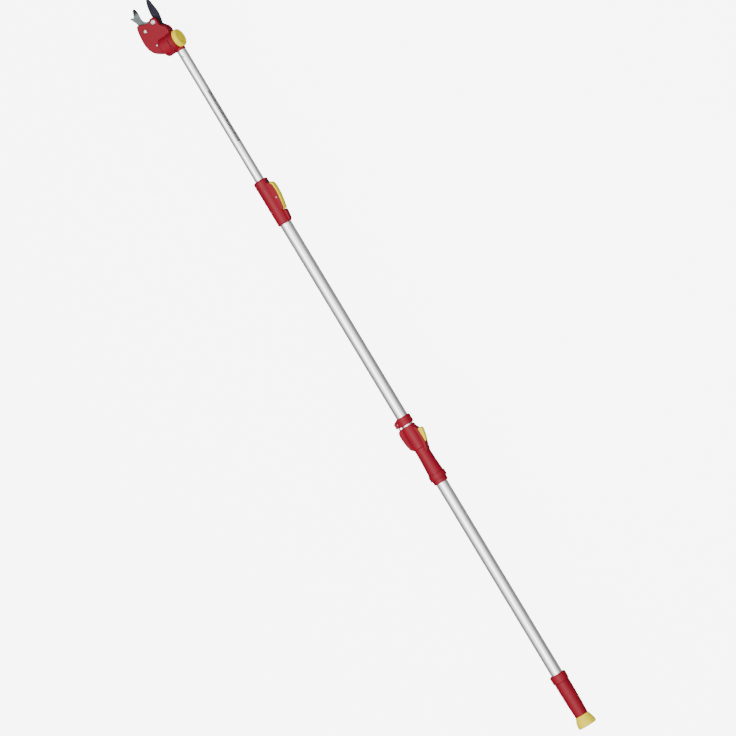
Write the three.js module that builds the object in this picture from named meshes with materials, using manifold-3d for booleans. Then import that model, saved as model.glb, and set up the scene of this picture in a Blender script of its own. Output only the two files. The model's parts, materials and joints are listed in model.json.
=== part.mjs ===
// Telescopic tree lopper: two aluminium tubes, a tilting bypass head, a sliding pull handle,
// a lever clamp between the tubes and a pull knob at the butt.
//
// Millimetres. The pole lies along X with the head towards +X, the blades lie flat in the XY
// plane, the hook is on the +Y side and every yellow control is on the -Y side. Inside this
// file a place along the pole is a station, counted from the butt face, and y and z are counted
// from the pole's axis. The last group moves everything so that the object stands on z = 0
// with the middle of its box over the origin.

import * as THREE from 'three';
import { mergeVertices } from 'three/addons/utils/BufferGeometryUtils.js';
import Module from 'manifold-3d';

const wasm = await Module();
wasm.setup();

// ---------------------------------------------------------------- driving dimensions

const GAP = 0.3; // clearance between pieces that touch
const TOTAL_LENGTH = 2206; // butt face to blade tip

const OUTER_TUBE = { radius: 16, bore: 14.75, from: 42, to: 1600 };
const UPPER_TUBE = { radius: 12.5, bore: 11.4, from: 560, to: 2040 };
const BUSH_BORE = 12.8; // anything that guides the upper tube
const COLLAR_BORE = OUTER_TUBE.radius + GAP; // anything fixed round the outer tube

const KNOB = { length: 31, radius: 25.8 };
const ROD = { radius: 4, from: 4.6, to: 200, screwBore: 2.7, screwDepth: 25 };
const PISTON = { radius: 13.8, length: 8 };
const GRIP = { from: 31.3, to: 155, wall: 10.4, guideBore: 8.3 };
const GRIP_SCREW_STATION = 143;

const HANDLE = { from: 734, to: 905, bore: 16.9, bushBore: 16.25 };
const TRIGGER = { pivot: [850, -22.6], halfWidth: 6, pinRadius: 1.5 };
const ANCHOR = { from: 866, to: 882, y: 25.8 };
const HANDLE_SCREW = [852, 22.6];

const COLLAR = { from: 908.3, to: 932, radius: 21 };
const COLLAR_SCREW_STATION = 921;
const COLLAR_ROLLER = { centre: [919, 19.6], radius: 5.6, halfWidth: 3.6 };
const RETURN_ROLLER = { centre: [548, 7], radius: 5.8, halfWidth: 3.6 };
const BAND = { thickness: 0.8, halfWidth: 3.3 };
const BAND_Y = { inner: 0.6, gap: 13.4 }; // inside the upper tube, and between the tubes

const CLAMP = { from: 1517, to: 1646, radius: 20.2 };
const LEVER = { pivot: [1620, -25], hub: 7.6, cam: 0.4, halfWidth: 8.2, pinRadius: 2.2 };
const CHEEK = { inner: 8.7, outer: 12 };
const CHEEK_SCREW = [1586, -22];
const SLEEVE_SCREW = [1540, 0];
const SHOE = { from: 1603, to: 1637, halfWidth: 6.5, top: -16.7 };

const TILT = { station: 2070, drum: 28, socketFrom: -6.5, socketTo: 6, headFrom: 8.4, headTo: 38 };
const TILT_KNOB = { radius: 24.25, inner: -7.4, outer: -20 };
const TILT_BOLT = { radius: 4, head: 7, end: 34 };
const SHELL = { half: 15, wall: 3.4, bevel: 3.5 };
const PIVOT = { centre: [2140, 22.5], bolt: 3.9, head: 7.5, hub: 10 };
const HOOK_PLATE = { from: 0.3, to: 3.8 };
const BLADE_PLATE = { from: -3.8, to: -0.3 };
const HOOK_SCREW = [2131, 56.5];
const SHELL_SCREW = [2084, 47];
const LEVER_ARM = { reach: 45.6, angle: 125 }; // from the blade pivot to the pulley, degrees from +X
const PULLEY = { radius: 7, from: -10.6, to: -4.3, pinRadius: 2 };
const BAND_ANCHOR_PIN = [2086, 60];

const BARB_TIP_Y = 81;
const Y_EXTENT = { low: -35.3, high: BARB_TIP_Y }; // trigger crown to barb tip

// ---------------------------------------------------------------- solids from three.js shapes

const SMOOTH = 24;
const FINE = 28;
const ROUGH = 12;

/** A closed three.js geometry as a manifold solid. */
function solid(geometry) {
  const bare = geometry.index ? geometry.toNonIndexed() : geometry;
  for (const name of Object.keys(bare.attributes)) {
    if (name !== 'position') bare.deleteAttribute(name);
  }
  const merged = mergeVertices(bare, 1e-4);
  const corners = [];
  for (let i = 0; i < merged.index.count; i += 3) {
    const [a, b, c] = [0, 1, 2].map((k) => merged.index.getX(i + k));
    if (a !== b && b !== c && c !== a) corners.push(a, b, c);
  }
  const vertProperties = new Float32Array(merged.attributes.position.array);
  const triVerts = new Uint32Array(corners);
  return new wasm.Manifold(new wasm.Mesh({ numProp: 3, vertProperties, triVerts }));
}

/** A round solid about the pole's axis. The profile is a closed list of [station, radius]. */
function turned(profile, segments = SMOOTH) {
  const closed = profile[0][1] === 0 ? profile : [...profile, profile[0]];
  const points = closed.map(([station, radius]) => new THREE.Vector2(radius, station));
  const geometry = new THREE.LatheGeometry(points, segments);
  geometry.rotateZ(-Math.PI / 2);
  return outward(geometry);
}

/** A round solid along Z at [x, y]. The profile is a closed list of [z, radius]. */
function turnedZ([x, y], profile, segments = ROUGH) {
  const closed = profile[0][1] === 0 ? profile : [...profile, profile[0]];
  const points = closed.map(([z, radius]) => new THREE.Vector2(radius, z));
  const geometry = new THREE.LatheGeometry(points, segments);
  geometry.rotateX(Math.PI / 2);
  geometry.translate(x, y, 0);
  return outward(geometry);
}

/** A round solid along Y through the tilt axis. The profile is a closed list of [y, radius]. */
function turnedY(profile, segments = FINE, station = TILT.station, z = 0) {
  const closed = profile[0][1] === 0 ? profile : [...profile, profile[0]];
  const points = closed.map(([y, radius]) => new THREE.Vector2(radius, y));
  const geometry = new THREE.LatheGeometry(points, segments);
  geometry.translate(station, 0, z);
  return outward(geometry);
}

/** The same surface with its faces turned outward, whichever way the profile ran. */
function outward(geometry) {
  const body = solid(geometry);
  if (body.volume() > 0) return body;
  const flipped = geometry.index ? geometry.toNonIndexed() : geometry;
  const p = flipped.attributes.position;
  for (let i = 0; i < p.count; i += 3) {
    const [x, y, z] = [p.getX(i), p.getY(i), p.getZ(i)];
    p.setXYZ(i, p.getX(i + 1), p.getY(i + 1), p.getZ(i + 1));
    p.setXYZ(i + 1, x, y, z);
  }
  return solid(flipped);
}

const ring = (from, to, inner, outer, segments) =>
  turned([[from, inner], [from, outer], [to, outer], [to, inner]], segments);
const rod = (from, to, radius, segments) =>
  turned([[from, 0], [from, radius], [to, radius], [to, 0]], segments);
const postZ = (at, from, to, radius, segments) =>
  turnedZ(at, [[from, 0], [from, radius], [to, radius], [to, 0]], segments);
const ringZ = (at, from, to, inner, outer, segments) =>
  turnedZ(at, [[from, inner], [from, outer], [to, outer], [to, inner]], segments);
const postY = (from, to, radius, segments, station, z) =>
  turnedY([[from, 0], [from, radius], [to, radius], [to, 0]], segments, station, z);
const ringY = (from, to, inner, outer, segments) =>
  turnedY([[from, inner], [from, outer], [to, outer], [to, inner]], segments);

function box([x0, x1], [y0, y1], [z0, z1]) {
  const geometry = new THREE.BoxGeometry(x1 - x0, y1 - y0, z1 - z0);
  geometry.translate((x0 + x1) / 2, (y0 + y1) / 2, (z0 + z1) / 2);
  return solid(geometry);
}

/** An outline in the XY plane, extruded from z0 to z1, with bevelled rims where asked. */
function plate(outline, z0, z1, bevel = 0, bevelSegments = 2) {
  const shape = new THREE.Shape(outline.map(([x, y]) => new THREE.Vector2(x, y)));
  const geometry = new THREE.ExtrudeGeometry(shape, {
    depth: z1 - z0 - 2 * bevel,
    bevelEnabled: bevel > 0,
    bevelThickness: bevel,
    bevelSize: bevel,
    bevelOffset: -bevel,
    bevelSegments,
    steps: 1,
    curveSegments: 8,
  });
  geometry.translate(0, 0, z0 + bevel);
  return outward(geometry);
}

/** A smooth closed outline through a few points. */
function rounded(points, divisions) {
  const knots = points.map(([x, y]) => new THREE.Vector3(x, y, 0));
  const curve = new THREE.CatmullRomCurve3(knots, true, 'centripetal');
  return curve.getPoints(divisions).slice(0, -1).map((p) => [p.x, p.y]);
}

/** Points on an arc about a centre, angles in degrees. */
function arc([x, y], radius, from, to, steps) {
  const points = [];
  for (let i = 0; i <= steps; i += 1) {
    const angle = THREE.MathUtils.degToRad(from + ((to - from) * i) / steps);
    points.push([x + radius * Math.cos(angle), y + radius * Math.sin(angle)]);
  }
  return points;
}

/** A flat band whose middle line is a list of points in the XY plane. */
function ribbon(line, thickness, z0, z1) {
  const offset = (side) => line.map(([x, y], i) => {
    const [ax, ay] = line[Math.max(i - 1, 0)];
    const [bx, by] = line[Math.min(i + 1, line.length - 1)];
    const length = Math.hypot(bx - ax, by - ay);
    const reach = (side * thickness) / 2 / length;
    return [x - (by - ay) * reach, y + (bx - ax) * reach];
  });
  return plate([...offset(1), ...offset(-1).reverse()], z0, z1);
}

/** A coil of round wire: axis along Z or Y, at [x, y, z] of its first end. */
function coil(axis, [x, y, z], radius, wire, turns, height) {
  const perTurn = 8;
  const points = [];
  for (let i = 0; i <= turns * perTurn; i += 1) {
    const angle = (2 * Math.PI * i) / perTurn;
    const along = (height * i) / (turns * perTurn);
    const [u, v] = [radius * Math.cos(angle), radius * Math.sin(angle)];
    points.push(axis === 'z'
      ? new THREE.Vector3(x + u, y + v, z + along)
      : new THREE.Vector3(x + u, y + along, z + v));
  }
  const section = new THREE.Shape();
  section.absarc(0, 0, wire, 0, 2 * Math.PI, false);
  const geometry = new THREE.ExtrudeGeometry(section, {
    steps: points.length - 1,
    curveSegments: 2,
    bevelEnabled: false,
    extrudePath: new THREE.CatmullRomCurve3(points),
  });
  return outward(geometry);
}

const join = (...bodies) => bodies.reduce((a, b) => a.add(b));
const cut = (body, ...tools) => tools.reduce((a, b) => a.subtract(b), body);
const above = (z) => box([-100, 2400], [-200, 200], [z, 200]);
const below = (z) => box([-100, 2400], [-200, 200], [-200, z]);

// ---------------------------------------------------------------- materials

const finish = (color, roughness, metalness = 0) =>
  () => new THREE.MeshStandardMaterial({ color, roughness, metalness });
const redPlastic = finish(0xb0202e, 0.42);
const yellowPlastic = finish(0xf2dc1e, 0.45);
const aluminium = finish(0xc9ccd0, 0.28, 1);
const steel = finish(0x9aa0a3, 0.35, 1);
const hookSteel = finish(0x707b7c, 0.45, 1);
const bladeCoat = finish(0x16161c, 0.35, 0.4);
const blackNylon = finish(0x1d1d1f, 0.6);
const webbing = finish(0x2c2c30, 0.85);
const rubber = finish(0x151515, 0.8);

const tool = new THREE.Group();

function add(name, body, material) {
  const { vertProperties, triVerts } = body.getMesh();
  const geometry = new THREE.BufferGeometry();
  geometry.setAttribute('position', new THREE.BufferAttribute(new Float32Array(vertProperties), 3));
  geometry.setIndex(new THREE.BufferAttribute(new Uint32Array(triVerts), 1));
  const mesh = new THREE.Mesh(geometry, material());
  mesh.name = name;
  tool.add(mesh);
}

// ---------------------------------------------------------------- outer pole

function outerPole() {
  const bandSlot = box([910, 928], [12, 18], [-4.6, 4.6]);
  const { from, to, bore, radius } = OUTER_TUBE;
  add('outer_tube', cut(ring(from, to, bore, radius, FINE), bandSlot), aluminium);

  const gripBody = turned([
    [GRIP.from, GRIP.guideBore], [GRIP.from, 18.2], [GRIP.from + 1.5, 18.8], [60, 19.5], [100, 20.4],
    [129, 20.6], [132, 22.6], [152.5, 22.9], [GRIP.to, 21.2], [GRIP.to, COLLAR_BORE],
    [GRIP.from + GRIP.wall, COLLAR_BORE], [GRIP.from + GRIP.wall, GRIP.guideBore],
  ], FINE);
  const screwHoles = join(
    postY(0, 30, 2.5, ROUGH, GRIP_SCREW_STATION),
    postZ([GRIP_SCREW_STATION, 0], -30, 0, 2.5),
  );
  add('end_grip', cut(gripBody, screwHoles), redPlastic);
  const [screwEnd, screwTop] = [OUTER_TUBE.radius + 0.4, 22];
  add('grip_screw_side', postY(screwEnd, screwTop, 2.2, ROUGH, GRIP_SCREW_STATION), steel);
  add('grip_screw_back', postZ([GRIP_SCREW_STATION, 0], -screwTop, -screwEnd, 2.2), steel);
  add('rod_guide_bush', turned([
    [31.8, 4.6], [31.8, 8], [42.2, 8], [42.2, 14.4], [47, 14.4], [47, 4.6],
  ]), blackNylon);
  add('tube_mouth_bush', turned([
    [1570, BUSH_BORE], [1570, 14.45], [1600.3, 14.45], [1600.3, 15.8], [1602, 15.8], [1602, BUSH_BORE],
  ]), blackNylon);
}

function outletCollar() {
  const body = turned([
    [COLLAR.from, 14], [COLLAR.from, COLLAR.radius - 0.8], [COLLAR.from + 0.8, COLLAR.radius],
    [COLLAR.to - 3, COLLAR.radius], [COLLAR.to, COLLAR.radius - 2.5], [COLLAR.to, 14],
  ]);
  const lug = plate([
    [909.5, 8], [909.5, 26.5], [911, 30.2], [914.5, 30.2], [917.5, 28.4], [920.5, 30.4], [924.5, 29.6],
    [929.5, 22], [930.5, 8],
  ], -8.5, 8.5, 1.4, 1);
  const boreRoom = rod(900, 940, COLLAR_BORE);
  const rollerRoom = box([900, 926.4], [10, 27.4], [-4.4, 4.4]);
  const pinHole = postZ(COLLAR_ROLLER.centre, -9, 9, 1.8);
  const screwHole = postY(-30, -12, 2.3, ROUGH, COLLAR_SCREW_STATION);
  add('outlet_collar', cut(join(body, lug), boreRoom, rollerRoom, pinHole, screwHole), redPlastic);
  const { centre, halfWidth, radius } = COLLAR_ROLLER;
  add('collar_roller', turnedZ(centre, [
    [-halfWidth, 1.8], [-halfWidth, radius], [halfWidth, radius], [halfWidth, 1.8],
  ], 24), steel);
  add('collar_pin', postZ(centre, -8.2, 8.2, 1.5), steel);
  add('collar_screw', postY(-20.9, -COLLAR_BORE, 2, ROUGH, COLLAR_SCREW_STATION), steel);
}

function telescopeClamp() {
  const sleeve = turned([
    [CLAMP.from, COLLAR_BORE - 3], [CLAMP.from, 18.6], [CLAMP.from + 2.5, CLAMP.radius],
    [CLAMP.to - 5, CLAMP.radius], [CLAMP.to - 1, 18.6], [CLAMP.to, 17.2], [CLAMP.to, COLLAR_BORE - 3],
  ], FINE);
  const horn = plate([
    [1518, -10], [1518, -19.5], [1526, -22.5], [1542, -24.6], [1548.6, -24.2], [1549, -10],
  ], -7.5, 7.5, 1.5);
  const cheekOutline = [
    [1551.6, -4], [1551.6, -22], [1556, -24.2], [1568, -26.2], [1580, -27.8], [1590, -29.2], [1600, -29.8],
    [1612, -29.2], [1620, -28.6], [1626, -26.4], [1630.4, -21], [1632, -13], [1632, -4],
  ];
  const cheeks = plate(cheekOutline, -CHEEK.outer, CHEEK.outer, 1.6);
  const leverRoom = join(
    box([1549.3, 1639], [-60, -18.8], [-CHEEK.inner, CHEEK.inner]),
    box([1606, 1634], [-60, SHOE.top - 0.2], [-CHEEK.inner, CHEEK.inner]),
  );
  const tubeRoom = join(
    rod(1500, 1602.4, COLLAR_BORE, FINE),
    rod(1500, 1700, 13.3, FINE),
    rod(1640.6, 1700, 15.9, FINE),
  );
  const shoeRoom = box(
    [SHOE.from - GAP, SHOE.to + GAP],
    [-20, -10],
    [-SHOE.halfWidth - GAP, SHOE.halfWidth + GAP],
  );
  const holes = join(
    postZ(LEVER.pivot, -20, 10.8, LEVER.pinRadius + GAP),
    postZ(CHEEK_SCREW, 5, 20, 2.1),
    postZ(SLEEVE_SCREW, -30, -10, 2.3),
  );
  add('clamp_sleeve', cut(join(sleeve, horn, cheeks), leverRoom, tubeRoom, shoeRoom, holes), redPlastic);

  const shoe = box([SHOE.from, SHOE.to], [SHOE.top, -10], [-SHOE.halfWidth, SHOE.halfWidth]);
  add('clamp_shoe', cut(shoe, rod(1590, 1650, BUSH_BORE, FINE)), blackNylon);
  add('lever_pin', postZ(LEVER.pivot, -11.8, 10.5, LEVER.pinRadius), steel);
  add('cheek_screw', turnedZ(CHEEK_SCREW, [
    [8.9, 0], [8.9, 1.8], [12.3, 1.8], [12.9, 1], [12.9, 0],
  ]), steel);
  add('sleeve_screw', postZ(SLEEVE_SCREW, -20, -COLLAR_BORE, 2), steel);
  add('wiper_ring', ring(1640.9, 1646.6, BUSH_BORE, 15.6), rubber);

  const hub = arc([LEVER.pivot[0], LEVER.pivot[1] + LEVER.cam], LEVER.hub, 84, -84, 10);
  const leverOutline = [
    ...hub, [1610, -33.6], [1594, -33.2], [1576, -30.6], [1560, -27], [1549.8, -24.4],
    [1549.8, -19.7], [1566, -20.2], [1580, -20.8], [1606, -20.4],
  ];
  const lever = plate(leverOutline, -LEVER.halfWidth, LEVER.halfWidth, 0.8, 1);
  const pinBore = postZ(LEVER.pivot, -20, 20, LEVER.pinRadius + GAP);
  add('clamp_lever', cut(lever, pinBore), yellowPlastic);
}

// ---------------------------------------------------------------- pull knob and its rod

function pullKnob() {
  const knob = turned([
    [0, 6.6], [0, KNOB.radius - 1.4], [1.4, KNOB.radius], [8, KNOB.radius], [14, 24.8], [20, 22.8],
    [26, 20.4], [KNOB.length - 1, 19.2], [KNOB.length, 18.4], [KNOB.length, ROD.radius + GAP],
    [4.4, ROD.radius + GAP], [4.4, 6.6],
  ], FINE);
  add('pull_knob', knob, yellowPlastic);
  add('knob_screw', turned([
    [0.9, 0], [0.9, 6], [4.1, 6.2], [4.1, 2.4], [26, 2.4], [26, 0],
  ], ROUGH), steel);
  const bore = ROD.from + ROD.screwDepth;
  add('pull_rod', turned([
    [bore, 0], [bore, ROD.screwBore], [ROD.from, ROD.screwBore], [ROD.from, ROD.radius],
    [ROD.to, ROD.radius], [ROD.to, 0],
  ], ROUGH), steel);
  const pistonFrom = ROD.to + GAP;
  add('rod_piston', turned([
    [pistonFrom, 0], [pistonFrom, PISTON.radius - 1], [pistonFrom + 1, PISTON.radius],
    [pistonFrom + PISTON.length - 1, PISTON.radius], [pistonFrom + PISTON.length, PISTON.radius - 1],
    [pistonFrom + PISTON.length, 0],
  ], 24), blackNylon);
}

// ---------------------------------------------------------------- sliding pull handle

function slideHandle() {
  const barrel = turned([
    [HANDLE.from, 12], [HANDLE.from, 19], [HANDLE.from + 1.5, 20], [763, 21.6], [775, 20.6], [800, 19.4],
    [822, 18.7], [840, 18.6], [866, 19.6], [890, 20.2], [902, 19.4], [HANDLE.to, 18], [HANDLE.to, 12],
  ], FINE);
  const guard = plate(rounded([
    [838, 12], [843, 23.2], [852, 27.2], [866, 30.2], [882, 31.4], [895, 30.6], [903, 26], [904.6, 18],
    [902, 6], [850, 2],
  ], 32), -13.5, 13.5, 4.5);
  const triggerHousing = plate([
    [832, -10], [834, -17.5], [842, -21.6], [846, -24.6], [853, -25.4], [860, -22.6], [888, -22.4],
    [894, -19.8], [897, -10],
  ], -9.6, 9.6, 1.8);
  const full = join(barrel, guard, triggerHousing);

  const rings = join(
    ring(745.6, 762.4, 20, 30, FINE),
    ring(897.6, 930, 18.4, 60, FINE).intersect(box([890, 930], [-30, 18], [-40, 40])),
  );
  const tubeRoom = join(
    rod(700, 950, HANDLE.bore, FINE),
    rod(735.7, 760.3, 18.3),
    rod(877.7, 902.3, 18),
  );
  const bandRoom = box([862, 930], [10, 29.2], [-6.4, 6.4]);
  const triggerRoom = box([846, 886.4], [-60, -18.3], [-6.6, 6.6]);
  const pinHole = postZ(TRIGGER.pivot, -8.9, 8.9, TRIGGER.pinRadius + GAP);
  const screwHole = join(postZ(HANDLE_SCREW, -30, 10.5, 2), postZ(HANDLE_SCREW, -30, -10.6, 3.7));
  const hollow = cut(full, rings, tubeRoom, bandRoom, triggerRoom, pinHole, screwHole);
  add('handle_shell_front', hollow.intersect(above(GAP / 2)), redPlastic);
  add('handle_shell_back', hollow.intersect(below(-GAP / 2)), redPlastic);

  add('handle_ring', turned([
    [746, 20.3], [746, 23], [747.5, 24], [760.5, 24], [762, 23], [762, 20.3],
  ], FINE), redPlastic);
  add('handle_bush_lower', ring(736, 760, HANDLE.bushBore, 18), blackNylon);
  add('handle_bush_upper', ring(878, 902, HANDLE.bushBore, 17.7), blackNylon);
  add('handle_screw', turnedZ(HANDLE_SCREW, [
    [-13.2, 0], [-13.2, 3.2], [-11, 3.4], [-11, 1.7], [10, 1.7], [10, 0],
  ]), steel);
  const anchor = box([ANCHOR.from, ANCHOR.to], [20, 28.8], [-6, 6]);
  const anchorScrewHole = postY(18, 32, 2, ROUGH, ANCHOR.from + 8);
  add('band_anchor', cut(anchor, anchorScrewHole), steel);
  add('anchor_screw', postY(19.6, 28.6, 1.7, ROUGH, ANCHOR.from + 8), steel);
  add('trigger_pin', postZ(TRIGGER.pivot, -8.6, 8.6, TRIGGER.pinRadius), steel);

  const springAt = 873;
  const button = plate([
    [847, -21], [846.6, -25.4], [849.5, -28.3], [858, -30.8], [868, -33.4], [877, -35.3], [882, -34.9],
    [885.4, -31.8], [885.8, -24], [885.4, -22.4],
  ], -TRIGGER.halfWidth, TRIGGER.halfWidth, 1.1, 1);
  const springWell = postY(-31, -20, 3.8, ROUGH, springAt);
  const pinBore = postZ(TRIGGER.pivot, -20, 20, TRIGGER.pinRadius + GAP);
  add('trigger_button', cut(button, springWell, pinBore), yellowPlastic);
  add('trigger_spring', coil('y', [springAt, -30, 0], 2.7, 0.45, 4, 11), steel);
}

// ---------------------------------------------------------------- upper pole

function upperPole() {
  const { from, to, bore, radius } = UPPER_TUBE;
  const rivetAt = [2022, 0];
  const rivetHoles = postZ(rivetAt, -20, 20, 2.3);
  add('upper_tube', cut(ring(from, to, bore, radius, FINE), rivetHoles), aluminium);

  const bushBody = rod(536, 586, 14.45);
  const tubeSeat = rod(from - GAP, 600, BUSH_BORE, FINE);
  const rollerSlot = box([500, 558], [-2, 20], [-4.1, 4.1]);
  const bandGroove = box([500, 600], [12.7, 20], [-4.7, 4.7]);
  const bandBore = rod(500, 600, 6.5);
  const pinHole = postZ(RETURN_ROLLER.centre, -20, 20, 1.8);
  add('tube_end_bush', cut(bushBody, tubeSeat, rollerSlot, bandGroove, bandBore, pinHole), blackNylon);
  const { centre, halfWidth, radius: rollerRadius } = RETURN_ROLLER;
  add('return_roller', ringZ(centre, -halfWidth, halfWidth, 1.8, rollerRadius, 24), steel);
  add('return_roller_pin', postZ(centre, -11.5, 11.5, 1.5), steel);

  const plug = rod(2004, 2041, 11.1);
  const neck = turned([
    [to + GAP, 0], [to + GAP, 13.6], [2052.3, 13.6], [2052.3, 0],
  ], 26);
  const drum = turnedY([
    [TILT.socketFrom, 0], [TILT.socketFrom, TILT.drum - 1.2], [TILT.socketFrom + 1.2, TILT.drum],
    [TILT.socketTo, TILT.drum], [TILT.socketTo, 0],
  ]);
  const headSweep = turnedY([
    [TILT.socketTo - 0.4, 0], [TILT.socketTo - 0.4, TILT.drum + 0.5], [60, TILT.drum + 0.5], [60, 0],
  ]);
  const knobSweep = turnedY([
    [-60, 0], [-60, TILT_KNOB.radius + 0.8], [TILT.socketFrom + 0.4, TILT_KNOB.radius + 0.8],
    [TILT.socketFrom + 0.4, 0],
  ]);
  const neckRoom = join(headSweep, knobSweep);
  const channels = join(
    rod(1990, 2071, 6, 16),
    postY(-1, 20, 10, 24),
    postY(-20, 20, TILT_BOLT.radius + GAP, ROUGH),
  );
  add('head_socket', cut(join(plug, cut(neck, neckRoom), drum), channels, rivetHoles), redPlastic);
  for (const [name, side] of [['socket_rivet_front', 1], ['socket_rivet_back', -1]]) {
    add(name, turnedZ(rivetAt, [
      [side * 7.5, 0], [side * 7.5, 2], [side * 13, 2], [side * 13.4, 1], [side * 13.4, 0],
    ]), steel);
  }
  add('tilt_washer', ringY(TILT.socketTo + GAP, TILT.headFrom - GAP, 12, 25), steel);
  add('tilt_bolt', turnedY([
    [-15.5, 0], [-15.5, TILT_BOLT.radius], [TILT_BOLT.end - 5, TILT_BOLT.radius],
    [TILT_BOLT.end - 5, TILT_BOLT.head], [TILT_BOLT.end, TILT_BOLT.head], [TILT_BOLT.end, 0],
  ], ROUGH), steel);
}

function tiltKnob() {
  const { inner, outer, radius } = TILT_KNOB;
  const body = turnedY([
    [inner, 0], [inner, radius - 1], [inner - 1, radius], [outer + 3.2, radius],
    [outer + 0.9, radius - 1.8], [outer, radius - 4.5], [outer, 0],
  ]);
  const flutes = [];
  const fluteCount = 12;
  for (let i = 0; i < fluteCount; i += 1) {
    const angle = (2 * Math.PI * (i + 0.5)) / fluteCount;
    const place = radius + 2.3;
    const [station, z] = [TILT.station + place * Math.cos(angle), place * Math.sin(angle)];
    flutes.push(postY(outer - 1, inner + 1, 3.2, 10, station, z));
  }
  const boltRoom = postY(-16, 0, TILT_BOLT.radius + GAP, ROUGH);
  const insertRoom = postY(-15.3, 0, 7.3, 6);
  add('tilt_knob', cut(body, ...flutes, boltRoom, insertRoom), yellowPlastic);
  add('knob_insert', cut(postY(-15, inner - 0.3, 6.9, 6), boltRoom), steel);
}

// ---------------------------------------------------------------- cutting head

/** The pulley's place on the blade's lever arm. */
function pulleyCentre() {
  const angle = THREE.MathUtils.degToRad(LEVER_ARM.angle);
  const [x, y] = PIVOT.centre;
  return [x + LEVER_ARM.reach * Math.cos(angle), y + LEVER_ARM.reach * Math.sin(angle)];
}

function headShells() {
  const outline = [
    [2150, 58], [2154.5, 66], [2152.5, 71.5], [2140, 75], [2130, 76.8], [2119, 78],
    [2109, 78.6], [2099, 78], [2090, 76.4], [2082, 73.6], [2075, 69.8],
    [2069, 65], [2063, 58], [2058, 49.5], [2053, 40], [2049, 30], [2047, 18],
    [2047, TILT.headFrom - 6], [2103, -4.6], [2112, -2.4], [2126, 10.5],
    ...arc(PIVOT.centre, 11.8, -90, 65, 8), [2146, 40], [2147, 49],
  ];
  const casing = plate(outline, -SHELL.half, SHELL.half, SHELL.bevel);
  const drum = turnedY([
    [TILT.headFrom, 0], [TILT.headFrom, TILT.drum], [TILT.headTo - 5, TILT.drum],
    [TILT.headTo - 1.5, TILT.drum - 1.5], [TILT.headTo, TILT.drum - 5], [TILT.headTo, 0],
  ]);
  const cavity = plate([
    [2128, 68], [2118, 74], [2100, 74.4], [2085, 70.5], [2073, 61], [2063, 46], [2060, 36.5],
    [2082, 36.5], [2082, 11.8], [2104, 11.8], [2106, 2], [2112, 2.4], [2122, 12], [2128, 12],
    [2128, 34], [2132, 42],
  ], -SHELL.half + SHELL.wall, SHELL.half - SHELL.wall);
  const boltChamber = join(
    postY(0, 36.6, 10, 24),
    box([2070, 2084], [11.8, 36.5], [-11, 11]),
  );
  const bladeMouth = plate([
    [2104, -20], [2104, 50], [2120, 58], [2128, 73], [2220, 73], [2220, -20],
  ], -4.3, 4.3);
  const socketSweep = postY(-60, TILT.headFrom, TILT.drum + 0.7, FINE);
  const springRoom = postZ(PIVOT.centre, -11.6, -4, 9.2, 24);
  const holes = join(
    postZ(PIVOT.centre, -40, 40, PIVOT.bolt + GAP),
    postZ(PIVOT.centre, 11.7, 40, PIVOT.head + GAP, 24),
    postZ(PIVOT.centre, -40, -12.2, PIVOT.head + GAP, 6),
    postZ(HOOK_SCREW, -11, 40, 2.5),
    postZ(HOOK_SCREW, 12.2, 40, 5.3, 24),
    postZ(SHELL_SCREW, -11, 40, 2),
    postZ(SHELL_SCREW, 12.2, 40, 3.6),
  );
  const bosses = join(
    postZ(HOOK_SCREW, -13, 12, 5),
    postZ(SHELL_SCREW, -13, 12, 4.6),
  );
  const bossesKept = cut(bosses, bladeMouth);
  const anchorHole = postZ(BAND_ANCHOR_PIN, -12.4, 12.4, 1.8);
  const shape = cut(join(cut(join(casing, drum), cavity), bossesKept),
    boltChamber, bladeMouth, socketSweep, springRoom, holes, anchorHole);
  add('head_shell_front', shape.intersect(above(GAP / 2)), redPlastic);
  add('head_shell_back', shape.intersect(below(-GAP / 2)), redPlastic);
  add('band_anchor_pin', postZ(BAND_ANCHOR_PIN, -12.1, 12.1, 1.5), steel);
}

function headFixings() {
  const { centre, bolt, head } = PIVOT;
  add('pivot_bolt', turnedZ(centre, [
    [-15.4, 0], [-15.4, bolt], [12, bolt], [12, head], [14, head], [15.4, head - 1.6], [15.8, head - 4],
    [15.8, 0],
  ], 24), steel);
  const nutBore = postZ(centre, -20, 0, bolt + GAP);
  add('pivot_nut', cut(postZ(centre, -15.2, -12.5, head, 6), nutBore), steel);
  add('hook_screw', turnedZ(HOOK_SCREW, [
    [-10.7, 0], [-10.7, 2.2], [12.5, 2.2], [12.5, 5], [14.2, 5], [15.2, 3.4], [15.2, 0],
  ]), steel);
  add('shell_screw', turnedZ(SHELL_SCREW, [
    [-10.7, 0], [-10.7, 1.7], [12.5, 1.7], [12.5, 3.3], [14.4, 3.3], [14.4, 0],
  ]), steel);
  add('return_spring', coil('z', [...centre, -10.9], 7.4, 0.75, 3, 5.6), steel);
}

function hookBlade() {
  const outline = [
    [2190, 52], [2196.4, 56.4], [2196.8, 59.6], [2193, 62.6], [2184, 66.5], [2176.5, 70.6],
    [2181, BARB_TIP_Y - 1], [2179.6, BARB_TIP_Y], [2171, 77], [2163, 72.6], [2152, 69],
    [2136, 66], [2124, 62.5], [2122, 52], [2126, 40], [2128, 30], [2129.5, 20], [2133, 15],
    [2139, 12.5], [2146, 14.4], [2149.8, 19], [2150.4, 24.5], [2149.6, 36], [2151.5, 45.5],
    [2157, 51.4], [2166, 53.4], [2180, 51.6],
  ];
  const body = plate(outline, HOOK_PLATE.from, HOOK_PLATE.to, 0.6, 1);
  const holes = join(postZ(PIVOT.centre, -5, 20, PIVOT.bolt + GAP), postZ(HOOK_SCREW, -5, 20, 2.5));
  add('hook_blade', cut(body, holes), hookSteel);
}

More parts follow.
